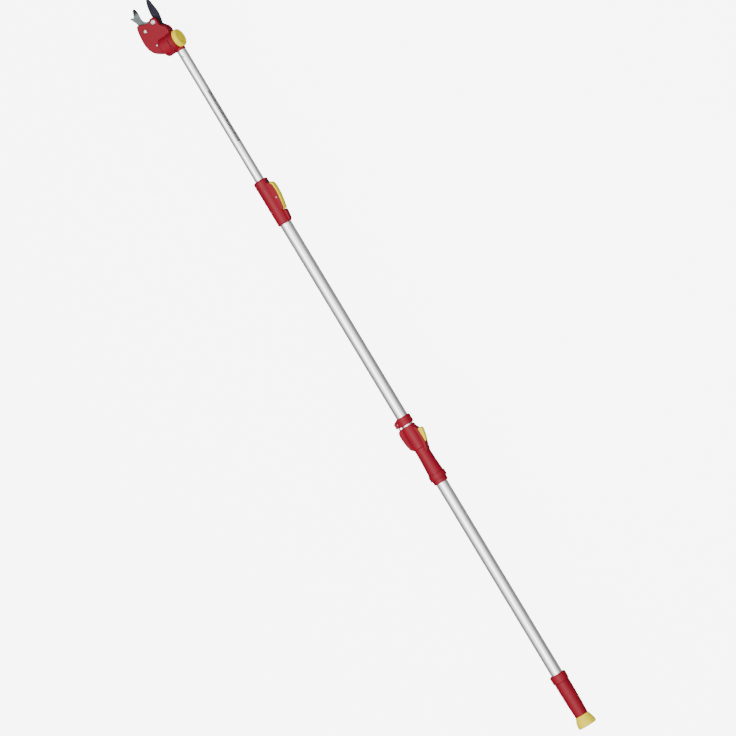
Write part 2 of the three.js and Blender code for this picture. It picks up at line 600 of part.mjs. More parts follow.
function cuttingBlade() {
  const [px, py] = PIVOT.centre;
  const pulley = pulleyCentre();
  const bladeOutline = [
    [TOTAL_LENGTH, 10.2], [2203.6, 7], [2192, 5.6], [2179, 3.4], [2167, 1.2], [2156, 0.6], [2145, 1.7],
    [2132, 4.6], [2121, 7.4], [2119.4, 11], [2126, 16], [px, py], [2151, 25.6], [2160, 25.8],
    [2173, 23.8], [2187, 20.8], [2197, 16.6],
  ];
  const armAngle = THREE.MathUtils.degToRad(LEVER_ARM.angle);
  const across = [-Math.sin(armAngle), Math.cos(armAngle)];
  const armEdge = (distance, side, width) => [
    px + distance * Math.cos(armAngle) + side * width * across[0],
    py + distance * Math.sin(armAngle) + side * width * across[1],
  ];
  const arm = plate([
    armEdge(0, 1, 9), armEdge(25, 1, 6.5), armEdge(LEVER_ARM.reach, 1, 5.2),
    armEdge(LEVER_ARM.reach, -1, 5.2), armEdge(25, -1, 6.5), armEdge(0, -1, 9),
  ], BLADE_PLATE.from, BLADE_PLATE.to);
  const hub = postZ(PIVOT.centre, BLADE_PLATE.from, BLADE_PLATE.to, PIVOT.hub, 28);
  const tail = postZ(pulley, BLADE_PLATE.from, BLADE_PLATE.to, 5.2);
  const blade = plate(bladeOutline, BLADE_PLATE.from, BLADE_PLATE.to);
  const holes = join(
    postZ(PIVOT.centre, -20, 20, PIVOT.bolt + GAP),
    postZ(pulley, -20, 20, PULLEY.pinRadius + GAP),
  );
  add('cutting_blade', cut(join(blade, hub, arm, tail), holes), bladeCoat);
  add('lever_pulley', turnedZ(pulley, [
    [PULLEY.from, PULLEY.pinRadius + GAP], [PULLEY.from, PULLEY.radius], [PULLEY.to, PULLEY.radius],
    [PULLEY.to, PULLEY.pinRadius + GAP],
  ], 24), blackNylon);
  add('pulley_pin', postZ(pulley, -11.1, -0.2, PULLEY.pinRadius), steel);
}

// ---------------------------------------------------------------- pull band

function pullBand() {
  const { thickness, halfWidth } = BAND;
  const [cx, cy] = COLLAR_ROLLER.centre;
  const collarTurn = ANCHOR.y - cy;
  const overCollarRoller = arc([cx, cy], collarTurn, -90, 90, 12);
  add('band_tail', ribbon([
    [552, BAND_Y.gap], [700, BAND_Y.gap], ...overCollarRoller, [ANCHOR.to + GAP, ANCHOR.y],
  ], thickness, -halfWidth, halfWidth), webbing);

  const [rx, ry] = RETURN_ROLLER.centre;
  const returnTurn = BAND_Y.gap - ry;
  add('band_run', ribbon([
    [550, BAND_Y.gap], ...arc([rx, ry], returnTurn, 90, 270, 12), [700, BAND_Y.inner], [2060, BAND_Y.inner],
  ], thickness, -halfWidth, halfWidth), webbing);

  const [bx, by] = pulleyCentre();
  const pulleyTurn = PULLEY.radius + 0.9;
  add('band_head', ribbon([
    [2079, 15], ...arc([bx, by], pulleyTurn, -50, 90, 10), [2088.6, 61.6],
  ], thickness, -9.8, -5.2), webbing);
}

outerPole();
outletCollar();
telescopeClamp();
pullKnob();
slideHandle();
upperPole();
tiltKnob();
headShells();
headFixings();
hookBlade();
cuttingBlade();
pullBand();

// The drums are the lowest pieces, and the box is centred over the origin.
tool.position.set(-TOTAL_LENGTH / 2, -(Y_EXTENT.low + Y_EXTENT.high) / 2, TILT.drum);
const lopper = new THREE.Group();
lopper.add(tool);

export default lopper;
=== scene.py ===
"""Looks of a telescopic tree lopper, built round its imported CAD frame.

Shapes are drawn in millimetres in the tool's own places: a station along the pole from the butt
face, and y and z from the pole's axis. Each finished piece is moved into the frame's metres.
"""

import json
import math

import bmesh
import bpy
from mathutils import Matrix, Vector


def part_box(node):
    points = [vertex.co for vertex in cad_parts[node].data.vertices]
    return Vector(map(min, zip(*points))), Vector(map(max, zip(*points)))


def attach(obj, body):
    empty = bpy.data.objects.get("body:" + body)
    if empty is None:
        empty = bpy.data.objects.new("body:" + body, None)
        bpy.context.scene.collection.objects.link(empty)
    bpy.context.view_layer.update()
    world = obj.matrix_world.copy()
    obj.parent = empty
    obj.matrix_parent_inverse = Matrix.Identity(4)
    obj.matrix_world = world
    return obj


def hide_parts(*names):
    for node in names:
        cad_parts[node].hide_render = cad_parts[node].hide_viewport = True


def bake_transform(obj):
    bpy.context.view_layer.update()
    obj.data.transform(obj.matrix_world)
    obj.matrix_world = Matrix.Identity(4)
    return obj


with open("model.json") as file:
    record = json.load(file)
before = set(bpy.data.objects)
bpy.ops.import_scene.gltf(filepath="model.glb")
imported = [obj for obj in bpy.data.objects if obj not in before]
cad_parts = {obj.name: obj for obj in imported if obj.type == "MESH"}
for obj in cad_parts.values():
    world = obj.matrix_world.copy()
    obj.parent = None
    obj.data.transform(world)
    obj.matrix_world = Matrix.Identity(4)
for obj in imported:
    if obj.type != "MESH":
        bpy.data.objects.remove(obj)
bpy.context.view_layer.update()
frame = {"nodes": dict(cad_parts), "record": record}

# ---------- places from the frame

MM = 0.001
KNOB_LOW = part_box("pull_knob")[0]
TUBE_LOW, TUBE_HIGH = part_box("outer_tube")
ORIGIN = Vector((KNOB_LOW.x, (TUBE_LOW.y + TUBE_HIGH.y) / 2, (TUBE_LOW.z + TUBE_HIGH.z) / 2))
TO_FRAME = Matrix.Translation(ORIGIN) @ Matrix.Scale(MM, 4)


def span(node):
    """Lowest and highest corner of a CAD node, in the tool's millimetres."""
    low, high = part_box(node)
    return (low - ORIGIN) / MM, (high - ORIGIN) / MM


def middle(node):
    low, high = span(node)
    return (low + high) / 2


def on_axis(node):
    """The point of the pole's axis at a node's station."""
    return (middle(node).x, 0, 0)


def in_plane(node):
    """A node's middle, moved into the XY plane through the pole's axis."""
    centre = middle(node)
    return (centre.x, centre.y, 0)


OUTER_LOW, OUTER_HIGH = span("outer_tube")
UPPER_LOW, UPPER_HIGH = span("upper_tube")
TUBE_R = OUTER_HIGH.z
UPPER_R = UPPER_HIGH.z
TUBE_WALL = 1.25
UPPER_WALL = 1.1
SLIDE_BORE = TUBE_R + 0.6  # of the handle, clear of the tube
FIXED_BORE = TUBE_R + 0.3  # of the pieces that are fixed to the tube
TILT = on_axis("tilt_bolt")
TILT_AT = TILT[0]
DRUM_R = span("head_socket")[1].z
PIVOT = middle("pivot_bolt").xy
PIVOT_BOLT = in_plane("pivot_bolt")
BLADE_TIP = span("cutting_blade")[1].x
SEAM = 0.12  # from the XY plane to each half of a two-part moulding

# ---------- mesh kit

SHARP = 32  # degrees between two faces from which their edge stays sharp


def new_object(name, bm, sharp=SHARP):
    bmesh.ops.recalc_face_normals(bm, faces=bm.faces)
    mesh = bpy.data.meshes.new(name)
    bm.to_mesh(mesh)
    bm.free()
    obj = bpy.data.objects.new(name, mesh)
    bpy.context.scene.collection.objects.link(obj)
    shade(obj, sharp)
    return obj


def shade(obj, sharp=SHARP):
    obj.data.shade_smooth()
    obj.data.set_sharp_from_angle(angle=math.radians(sharp))


def fillet(points, steps=4, closed=True):
    """A polyline, rounded at the points that carry a radius as their third value."""
    out = []
    count = len(points)
    for i, point in enumerate(points):
        here = Vector(point[:2])
        radius = point[2] if len(point) > 2 else 0
        if not radius or (not closed and i in (0, count - 1)):
            out.append(here)
            continue
        before = Vector(points[i - 1][:2]) - here
        after = Vector(points[(i + 1) % count][:2]) - here
        half = before.angle(after) / 2
        reach = min(radius / math.tan(half), before.length * 0.48, after.length * 0.48)
        start = here + before.normalized() * reach
        end = here + after.normalized() * reach
        for k in range(steps + 1):
            t = k / steps
            out.append(start * (1 - t) ** 2 + here * 2 * t * (1 - t) + end * t * t)
    return out


def bends(points, steps=4):
    """The same for an open polyline, whose two ends stay as they are."""
    return fillet(points, steps=steps, closed=False)


def spline(points, steps, closed=False):
    """A smooth curve through the points."""
    knots = [Vector(p) for p in points]
    count = len(knots)
    out = []
    last = count if closed else count - 1
    for i in range(last):
        if closed:
            a, b, c, d = (knots[(i + k) % count] for k in (-1, 0, 1, 2))
        else:
            a, b = knots[max(i - 1, 0)], knots[i]
            c, d = knots[i + 1], knots[min(i + 2, count - 1)]
        for k in range(steps):
            t = k / steps
            out.append(0.5 * (2 * b + (c - a) * t + (2 * a - 5 * b + 4 * c - d) * t * t
                              + (3 * b - a - 3 * c + d) * t ** 3))
    if not closed:
        out.append(knots[-1])
    return out


def arc(centre, radius, start, stop, steps):
    angles = [math.radians(start + (stop - start) * k / steps) for k in range(steps + 1)]
    return [Vector((centre[0] + radius * math.cos(a), centre[1] + radius * math.sin(a))) for a in angles]


def around(centre, radius, count, shift=0.0):
    """Evenly spread points on a circle, turned on by shift steps."""
    angles = [2 * math.pi * (k + shift) / count for k in range(count)]
    return [(centre[0] + radius * math.cos(a), centre[1] + radius * math.sin(a)) for a in angles]


def lathe(name, profile, axis="x", at=(0, 0, 0), segments=96):
    """A turned piece. The profile is (along, radius) and runs from axis to axis or closes on itself."""
    bm = bmesh.new()
    rings = []
    spots = [profile[0]]
    for point in profile[1:]:
        if (Vector(point) - Vector(spots[-1])).length > 0.01:
            spots.append(point)
    for along, radius in spots:
        ring = []
        for k in range(1 if radius < 1e-6 else segments):
            angle = 2 * math.pi * k / segments
            u, v = radius * math.cos(angle), radius * math.sin(angle)
            place = {"x": (along, u, v), "y": (u, along, v), "z": (u, v, along)}[axis]
            ring.append(bm.verts.new(Vector(place) + Vector(at)))
        rings.append(ring)
    solid = len(rings[0]) == 1
    for i in range(len(rings) - (1 if solid else 0)):
        a, b = rings[i], rings[(i + 1) % len(rings)]
        for k in range(segments):
            j = (k + 1) % segments
            corners = [a[k % len(a)], a[j % len(a)], b[j % len(b)], b[k % len(b)]]
            unique = list(dict.fromkeys(corners))
            if len(unique) > 2:
                bm.faces.new(unique)
    return new_object(name, bm)


def post(name, low, high, radius, axis="z", at=(0, 0, 0), rim=0.0, segments=32):
    corners = [(low, 0), (low, radius, rim), (high, radius, rim), (high, 0)]
    return lathe(name, bends(corners), axis, at, segments)


def bore(low, high, radius):
    """A cutter for a round hole along the pole."""
    return post("bore", low, high, radius, axis="x", segments=96)


def tube(name, low, high, inner, outer, rim):
    """A pipe or ring along the pole."""
    corners = [(low, inner, rim / 2), (low, outer, rim), (high, outer, rim), (high, inner, rim / 2)]
    return lathe(name, fillet(corners, steps=3))


def coil(name, low, high, radius, wire, turns, axis="z", at=(0, 0, 0)):
    """A compression spring of round wire, with its end turns in the planes low and high."""
    per_turn, sides = 24, 10
    steps = per_turn * turns
    bm = bmesh.new()
    rings = []
    for i in range(steps + 1):
        angle = 2 * math.pi * i / per_turn
        climb = low + wire + (high - low - 2 * wire) * i / steps
        ring = []
        for k in range(sides):
            turn = 2 * math.pi * k / sides
            reach, along = radius + wire * math.cos(turn), climb + wire * math.sin(turn)
            u, v = reach * math.cos(angle), reach * math.sin(angle)
            place = (u, along, v) if axis == "y" else (u, v, along)
            ring.append(bm.verts.new(Vector(place) + Vector(at)))
        rings.append(ring)
    for a, b in zip(rings, rings[1:]):
        for k in range(sides):
            j = (k + 1) % sides
            bm.faces.new((a[k], a[j], b[j], b[k]))
    bm.faces.new(rings[0])
    bm.faces.new(rings[-1][::-1])
    return new_object(name, bm, sharp=60)


def tidy_loop(outline):
    """The outline as a counter-clockwise list of distinct points."""
    points = []
    for point in outline:
        here = Vector(point)
        if not points or (here - points[-1]).length > 0.02:
            points.append(here)
    if (points[0] - points[-1]).length < 0.02:
        points.pop()
    area = sum(a.cross(b) for a, b in zip(points, points[1:] + points[:1]))
    return points if area > 0 else points[::-1]


def uncrossed(points, inward, reach):
    """The same inward moves, with corners tighter than the rim drawn together instead of crossing."""
    if not reach:
        return inward
    moved = [p + n * reach for p, n in zip(points, inward)]
    count = len(points)
    for _ in range(12):
        for i in range(count):
            j = (i + 1) % count
            if (moved[j] - moved[i]).dot(points[j] - points[i]) < 0:
                moved[i] = moved[j] = (moved[i] + moved[j]) / 2
    return [(m - p) / reach for m, p in zip(moved, points)]


def height_at(line, x):
    """Where a curve that runs along X passes x."""
    for a, b in zip(line, line[1:]):
        if min(a.x, b.x) <= x <= max(a.x, b.x) and a.x != b.x:
            return a.y + (b.y - a.y) * (x - a.x) / (b.x - a.x)
    raise ValueError(x)


def finger_grooves(line, first, pitch, half, radius, segments):
    """Cutters for six grooves across a curved face."""
    stations = [first + pitch * k for k in range(6)]
    places = [(x, height_at(line, x) - radius / 3, 0) for x in stations]
    return [post("groove", -half, half, radius, at=at, segments=segments) for at in places]


def slab(name, outline, low, high, rim, steps=3, rim_top=None):
    """A plate in the XY plane, from z low to high, with rounded rims."""
    points = tidy_loop(outline)
    count = len(points)
    inward = []
    for i in range(count):
        before = (points[i] - points[i - 1]).normalized()
        after = (points[(i + 1) % count] - points[i]).normalized()
        lean = Vector((-before.y - after.y, before.x + after.x))
        inward.append(lean / max(0.35, 1 + before.dot(after)))
    rim_top = rim if rim_top is None else rim_top
    inward = uncrossed(points, inward, max(rim, rim_top))
    layers = []
    for k in range(steps + 1 if rim else 1):
        turn = math.pi / 2 * k / steps
        layers.append((rim * (1 - math.sin(turn)), low + rim * (1 - math.cos(turn))))
    for k in range(steps + 1 if rim_top else 1):
        turn = math.pi / 2 * k / steps
        layers.append((rim_top * (1 - math.cos(turn)), high - rim_top * (1 - math.sin(turn))))
    bm = bmesh.new()
    rings = []
    for inset, z in layers:
        rings.append([bm.verts.new((*(p + n * inset), z)) for p, n in zip(points, inward)])
    bm.faces.new(rings[0][::-1])
    bm.faces.new(rings[-1])
    for a, b in zip(rings, rings[1:]):
        for k in range(count):
            j = (k + 1) % count
            bm.faces.new((a[k], a[j], b[j], b[k]))
    return new_object(name, bm)


def block(name, low, high):
    bm = bmesh.new()
    bmesh.ops.create_cube(bm, size=1)
    size = Vector(high) - Vector(low)
    centre = (Vector(high) + Vector(low)) / 2
    placed = Matrix.Translation(centre) @ Matrix.Diagonal((*size, 1))
    bmesh.ops.transform(bm, matrix=placed, verts=bm.verts)
    return new_object(name, bm)


def apply_modifiers(obj):
    graph = bpy.context.evaluated_depsgraph_get()
    mesh = bpy.data.meshes.new_from_object(obj.evaluated_get(graph))
    obj.modifiers.clear()
    obj.data = mesh


def combine(obj, tools, operation):
    for tool in tools:
        step = obj.modifiers.new(operation.lower(), "BOOLEAN")
        step.operation = operation
        step.solver = "MANIFOLD"
        step.object = tool
        apply_modifiers(obj)
        bpy.data.objects.remove(tool)
    shade(obj)
    return obj


def cut(obj, *tools):
    return combine(obj, tools, "DIFFERENCE")


def join(obj, *tools):
    return combine(obj, tools, "UNION")


def keep(obj, *tools):
    return combine(obj, tools, "INTERSECT")


def copy_of(obj, name):
    twin = obj.copy()
    twin.data = obj.data.copy()
    twin.name = name
    bpy.context.scene.collection.objects.link(twin)
    return twin


def screw_head(name, low, top, radius, axis, at, shank=None):
    """A round head with a six-lobed recess, from its seat at low to its crown at top, and a shank."""
    rise = abs(top - low)
    sign = math.copysign(1, top - low)
    crown = [(rise * 0.55, radius, rise * 0.4), (rise, radius * 0.6, rise * 0.5), (rise, 0)]
    body = bends([(0, 0), (0, radius, 0.15), *crown], 5)
    if shank:
        depth, width = shank
        body = [(-depth, 0), (-depth, width), (0, width), *body[1:]]
    placed = [(low + sign * along, reach) for along, reach in body]
    head = lathe(name, placed, axis, at, 40)
    lobes = []
    steps = 36
    for k in range(steps):
        angle = 2 * math.pi * k / steps
        reach = radius * (0.42 + 0.07 * math.cos(6 * angle))
        lobes.append((reach * math.cos(angle), reach * math.sin(angle)))
    depth = [low + sign * rise * 0.35, low + sign * (rise + 1)]
    drive = slab("drive", lobes, min(depth), max(depth), rim=0)
    turn = {"z": Matrix.Identity(4), "y": Matrix.Rotation(-math.pi / 2, 4, "X"),
            "x": Matrix.Rotation(math.pi / 2, 4, "Y")}[axis]
    drive.data.transform(Matrix.Translation(Vector(at)) @ turn)
    return cut(head, drive)


# ---------- materials


class Graph:
    """A material's node tree, written as calls."""

    def __init__(self, name):
        self.material = bpy.data.materials.new(name)
        self.material.use_nodes = True
        self.tree = self.material.node_tree
        self.shader = self.tree.nodes["Principled BSDF"]
        self.place = self.node("ShaderNodeTexCoord").outputs["Object"]

    def node(self, kind, inputs=None, **settings):
        made = self.tree.nodes.new(kind)
        for key, value in settings.items():
            setattr(made, key, value)
        for key, value in (inputs or {}).items():
            self.feed(made.inputs[key], value)
        return made

    def feed(self, socket, value):
        if isinstance(value, bpy.types.NodeSocket):
            self.tree.links.new(value, socket)
        else:
            socket.default_value = value

    def surface(self, **values):
        for key, value in values.items():
            self.feed(self.shader.inputs[key.replace("_", " ")], value)

    def stretched(self, scale):
        return self.node("ShaderNodeMapping", {"Vector": self.place, "Scale": scale}).outputs["Vector"]

    def noise(self, scale, detail, vector=None):
        settings = {"Vector": vector or self.place, "Scale": scale, "Detail": detail}
        return self.node("ShaderNodeTexNoise", settings).outputs["Fac"]

    def spread(self, value, low, high, from_low=0.3, from_high=0.7):
        made = self.node("ShaderNodeMapRange", {
            "Value": value, "From Min": from_low, "From Max": from_high, "To Min": low, "To Max": high})
        return made.outputs["Result"]

    def mix(self, fac, a, b):
        made = self.node("ShaderNodeMix", data_type="RGBA")
        self.feed(made.inputs[0], fac)
        self.feed(made.inputs[6], a)
        self.feed(made.inputs[7], b)
        return made.outputs[2]

    def mottle(self, value, a, b):
        """Drifts between two colours as a noise value goes through its middle range."""
        return self.mix(self.spread(value, 0.0, 1.0), a, b)

    def edges(self):
        """1 along edges: where the surface, rounded over half a millimetre, turns from its own normal."""
        rounded = self.node("ShaderNodeBevel", {"Radius": 0.5 * MM}, samples=4).outputs["Normal"]
        own = self.node("ShaderNodeNewGeometry").outputs["Normal"]
        agree = self.node("ShaderNodeVectorMath", {0: rounded, 1: own}, operation="DOT_PRODUCT")
        return self.spread(agree.outputs["Value"], 1.0, 0.0, 0.8, 0.98)

    def maths(self, operation, a, b):
        made = self.node("ShaderNodeMath", operation=operation)
        self.feed(made.inputs[0], a)
        self.feed(made.inputs[1], b)
        return made.outputs[0]

    def bump(self, height, strength, distance, normal=None):
        made = self.node("ShaderNodeBump", {"Height": height, "Strength": strength, "Distance": distance})
        if normal is not None:
            self.feed(made.inputs["Normal"], normal)
        self.feed(self.shader.inputs["Normal"], made.outputs["Normal"])
        return made.outputs["Normal"]


def rgb(r, g, b):
    return (r, g, b, 1.0)


def moulded(name, deep, light, worn):
    """Injection-moulded plastic: fine spark-eroded grain, faint flow marks and scuffed edges."""
    g = Graph(name)
    flow = g.noise(14.0, 2.0)
    grain = g.noise(2600.0, 2.0)
    scuffs = g.noise(160.0, 6.0)
    body = g.mottle(flow, deep, light)
    wear = g.maths("MULTIPLY", g.edges(), g.spread(scuffs, 0.15, 0.9, 0.4, 0.62))
    g.surface(Base_Color=g.mix(wear, body, worn), Roughness=g.spread(scuffs, 0.34, 0.5), IOR=1.5)
    g.surface(Specular_IOR_Level=0.18)
    first = g.bump(flow, 0.05, 0.002)
    g.bump(grain, 0.16, 0.00025, first)
    return g.material


def drawn_aluminium():
    """Drawn tube, clear anodised: fine lines along the pole and rare shallow scratches."""
    g = Graph("drawn_aluminium")
    lines = g.noise(1.0, 4.0, g.stretched((3.0, 1500.0, 1500.0)))
    cloud = g.noise(9.0, 3.0)
    scratch = g.noise(1.0, 8.0, g.stretched((40.0, 700.0, 700.0)))
    g.surface(Base_Color=g.mottle(lines, rgb(0.88, 0.885, 0.89), rgb(0.95, 0.955, 0.96)))
    g.surface(Metallic=1.0, Roughness=g.spread(g.maths("ADD", cloud, lines), 0.3, 0.4, 0.7, 1.3))
    first = g.bump(lines, 0.06, 0.0002)
    g.bump(g.spread(scratch, 0.0, 1.0, 0.66, 0.75), 0.1, 0.0001, first)
    return g.material


def plated_steel():
    g = Graph("plated_steel")
    cloud = g.noise(300.0, 4.0)
    g.surface(Base_Color=g.mottle(cloud, rgb(0.5, 0.51, 0.52), rgb(0.66, 0.66, 0.65)))
    g.surface(Metallic=1.0, Roughness=g.spread(cloud, 0.22, 0.38))
    g.bump(g.noise(1800.0, 3.0), 0.08, 0.0001)
    return g.material


def hook_steel():
    """Ground hook: grinding lines across it, a blackened tip, and painted shade on the walls that face the
    blade along its working edge.
    """
    g = Graph("hook_steel")
    lines = g.noise(1.0, 4.0, g.stretched((260.0, 2200.0, 260.0)))
    cloud = g.noise(70.0, 4.0)
    along = g.node("ShaderNodeSeparateXYZ", {"Vector": g.place}).outputs["X"]
    tip = span("hook_blade")[1].x
    near_tip = [ORIGIN.x + (tip - back) * MM for back in (17.0, 7.0)]
    dark = g.spread(g.maths("ADD", along, g.maths("MULTIPLY", cloud, 0.004)), 0.0, 1.0, *near_tip)
    facing = g.node("ShaderNodeNewGeometry").outputs["True Normal"]
    towards_blade = g.node("ShaderNodeSeparateXYZ", {"Vector": facing}).outputs["Y"]
    # painted shade: walls whose normals face the blade are darkened in the colour, standing in for the dark
    # surround they reflect
    painted_shade_wall = g.spread(towards_blade, 1.0, 0.0, -0.6, -0.15)
    ground = g.mottle(cloud, rgb(0.085, 0.105, 0.108), rgb(0.15, 0.175, 0.178))
    dark = g.maths("MAXIMUM", dark, painted_shade_wall)
    g.surface(Base_Color=g.mix(dark, ground, rgb(0.012, 0.013, 0.014)), Metallic=0.9)
    g.surface(Roughness=g.spread(lines, 0.3, 0.46))
    g.bump(lines, 0.15, 0.0002)
    return g.material


def coated_blade():
    """Black low-friction coating over a ground blade, rubbed thin on its edges."""
    g = Graph("coated_blade")
    cloud = g.noise(90.0, 4.0)
    specks = g.noise(1500.0, 3.0)
    rubbed = g.maths("MULTIPLY", g.edges(), g.spread(cloud, 0.2, 0.8))
    body = g.mottle(cloud, rgb(0.006, 0.006, 0.012), rgb(0.014, 0.014, 0.026))
    g.surface(Base_Color=g.mix(rubbed, body, rgb(0.2, 0.2, 0.22)), Specular_IOR_Level=0.12)
    g.surface(Roughness=g.spread(specks, 0.26, 0.36), Coat_Weight=0.02, Coat_Roughness=0.18)
    g.bump(specks, 0.1, 0.0001)
    return g.material


def matte_nylon(name, colour, lighter):
    g = Graph(name)
    cloud = g.noise(120.0, 4.0)
    g.surface(Base_Color=g.mottle(cloud, colour, lighter))
    g.surface(Roughness=g.spread(cloud, 0.55, 0.72))
    g.bump(g.noise(2200.0, 3.0), 0.15, 0.0002)
    return g.material


def woven_band():
    """Narrow woven band: ribs across it and threads along it."""
    g = Graph("woven_band")
    waves = []
    for scale, distortion, direction in ((260.0, 0.4, "X"), (420.0, 0.3, "Z")):
        inputs = {"Vector": g.place, "Scale": scale, "Distortion": distortion}
        wave = g.node("ShaderNodeTexWave", inputs, wave_type="BANDS", bands_direction=direction)
        waves.append(wave.outputs["Fac"])
    weave = g.maths("MULTIPLY", *waves)
    g.surface(Base_Color=g.mix(weave, rgb(0.008, 0.008, 0.01), rgb(0.05, 0.05, 0.056)))
    g.surface(Roughness=g.spread(weave, 0.75, 0.9), Sheen_Weight=0.2)
    g.bump(weave, 0.5, 0.0002)
    return g.material


def printed_ink():
    g = Graph("printed_ink")
    cloud = g.noise(800.0, 4.0)
    g.surface(Base_Color=g.mottle(cloud, rgb(0.004, 0.004, 0.005), rgb(0.012, 0.012, 0.013)))
    g.surface(Roughness=g.spread(cloud, 0.5, 0.65), Specular_IOR_Level=0.15)
    g.bump(cloud, 0.05, 0.00005)
    return g.material


MATERIALS = {
    "red_plastic": moulded(
        "red_plastic", rgb(0.165, 0.001, 0.009), rgb(0.205, 0.0015, 0.012), rgb(0.42, 0.045, 0.06)),
    "yellow_plastic": moulded(
        "yellow_plastic", rgb(0.64, 0.515, 0.0), rgb(0.7, 0.57, 0.001), rgb(0.9, 0.8, 0.18)),
    "tube_aluminium": drawn_aluminium(),
    "fastener_steel": plated_steel(),
    "hook_steel": hook_steel(),
    "blade_coating": coated_blade(),
    "black_nylon": matte_nylon("black_nylon", rgb(0.012, 0.012, 0.013), rgb(0.03, 0.03, 0.032)),
    "wiper_rubber": matte_nylon("wiper_rubber", rgb(0.01, 0.01, 0.01), rgb(0.022, 0.022, 0.022)),
    "band_webbing": woven_band(),
}


def fit(piece, body, slot, nodes=(), material=None):
    """Moves a finished piece into the frame and says what it is."""
    even = piece.modifiers.new("even_shading", "WEIGHTED_NORMAL")
    even.keep_sharp = True
    apply_modifiers(piece)
    piece.data.transform(TO_FRAME)
    piece.data.materials.clear()
    piece.data.materials.append(material or MATERIALS[slot])
    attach(piece, body)
    if nodes:
        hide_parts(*nodes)


def between(piece, slot, nodes=()):
    """Moves a piece into the frame and gives it its material, tied to no body."""
    piece.data.transform(TO_FRAME)
    piece.data.materials.append(MATERIALS[slot])
    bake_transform(piece)
    if nodes:
        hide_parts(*nodes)


def steel(piece, body, node):
    """Fits a fastener, spring or wheel in place of its CAD node."""
    fit(piece, body, "fastener_steel", [node])


def screw(node, body, *shape):
    """Puts a screw_head of this shape in place of a CAD screw."""
    steel(screw_head(f"{node}_fine", *shape), body, node)


def halves(moulding, body, shells):
    """Splits a red moulding at the XY plane into its front and back shells."""
    length, reach = BLADE_TIP + 100, 200
    for half, low, high in (("front", SEAM, reach), ("back", -reach, -SEAM)):
        shell = copy_of(moulding, f"{shells}_{half}_moulding")
        keep(shell, block("half", (0, -reach, low), (length, reach, high)))
        fit(shell, body, "red_plastic", [f"{shells}_{half}"])
    bpy.data.objects.remove(moulding)


# ---------- camera, floor and light

LEAN = 31.06  # the pole leans this far left of upright in the view, degrees
ELEVATION = 62.0
LENS = 200.0
SENSOR = 36.0
VIEW_WIDTH = 1.906  # metres across the frame at the pole
AIM_STATION = 1085.6
AIM_ASIDE = 10.6  # millimetres from the axis towards the hook's side


def make_camera():
    tilt = math.radians(ELEVATION)
    roll = math.radians(90 + LEAN)
    look = Vector((0, math.cos(tilt), -math.sin(tilt)))
    level_right = Vector((1, 0, 0))
    level_up = Vector((0, math.sin(tilt), math.cos(tilt)))
    right = level_right * math.cos(roll) - level_up * math.sin(roll)
    up = level_right * math.sin(roll) + level_up * math.cos(roll)
    aim = ORIGIN + level_right * AIM_STATION * MM + level_up * AIM_ASIDE * MM
    distance = VIEW_WIDTH / SENSOR * LENS
    data = bpy.data.cameras.new("camera")
    data.lens = LENS
    data.sensor_width = SENSOR
    data.clip_end = 100
    camera = bpy.data.objects.new("camera", data)
    bpy.context.scene.collection.objects.link(camera)
    turn = Matrix((right, up, -look)).transposed().to_4x4()
    camera.matrix_world = Matrix.Translation(aim - look * distance) @ turn
    bpy.context.scene.camera = camera


SKY_CENTRE = (0.0, -0.28, 0.96)
FLOOR_GLOW = 5.5  # a light table: it shines behind the object and not on it
FLOOR_DEPTH = 0.15  # metres below the object's lowest point, clear of the head when it's folded down


def make_floor():
    bm = bmesh.new()
    bmesh.ops.create_grid(bm, x_segments=8, y_segments=8, size=14)
    floor = new_object("studio_floor", bm)
    floor.location.z = -FLOOR_DEPTH
    g = Graph("studio_floor")
    cloud = g.noise(0.8, 2.0)
    g.surface(Base_Color=g.mottle(cloud, rgb(0.93, 0.93, 0.93), rgb(0.95, 0.95, 0.95)))
    g.surface(Roughness=0.9, Emission_Color=rgb(1.0, 1.0, 1.0), Emission_Strength=FLOOR_GLOW)
    floor.data.materials.append(g.material)
    floor.visible_diffuse = False
    floor.visible_glossy = False


def make_key_light():
    """One long soft box over the pole."""
    data = bpy.data.lights.new("key", "AREA")
    data.shape = "RECTANGLE"
    data.size, data.size_y = 4.6, 1.1
    data.energy = 110
    light = bpy.data.objects.new("key", data)
    bpy.context.scene.collection.objects.link(light)
    light.location = (0.2, -0.5, 3.4)
    light.rotation_euler = (-light.location).to_track_quat("-Z", "Y").to_euler()


def make_sky():
    """A broad bright patch of sky overhead in a dark surround, so that round pieces keep dark edges."""
    world = bpy.data.worlds.new("studio")
    world.use_nodes = True
    tree = world.node_tree
    place = tree.nodes.new("ShaderNodeTexCoord")
    towards = tree.nodes.new("ShaderNodeVectorMath")
    towards.operation = "DOT_PRODUCT"
    towards.inputs[1].default_value = SKY_CENTRE
    ramp = tree.nodes.new("ShaderNodeMapRange")
    tree.links.new(place.outputs["Generated"], towards.inputs[0])
    tree.links.new(towards.outputs["Value"], ramp.inputs["Value"])
    for key, value in (("From Min", 0.34), ("From Max", 0.86), ("To Min", 0.28), ("To Max", 2.7)):
        ramp.inputs[key].default_value = value
    tree.links.new(ramp.outputs["Result"], tree.nodes["Background"].inputs["Strength"])
    tree.nodes["Background"].inputs["Color"].default_value = (1.0, 1.0, 1.0, 1.0)
    bpy.context.scene.world = world


make_camera()
make_floor()
make_key_light()
make_sky()

# ---------- outer pole


def outer_tube():
    low, high = OUTER_LOW.x, OUTER_HIGH.x
    pipe = tube("outer_tube_fine", low, high, TUBE_R - TUBE_WALL, TUBE_R, rim=0.4)
    slot_at, half_length, half_width = middle("collar_roller").x, 8.5, 4.6
    cut(pipe, block("slot", (slot_at - half_length, 12, -half_width),
                    (slot_at + half_length, 18, half_width)))
    fit(pipe, "outer_pole", "tube_aluminium", ["outer_tube"])


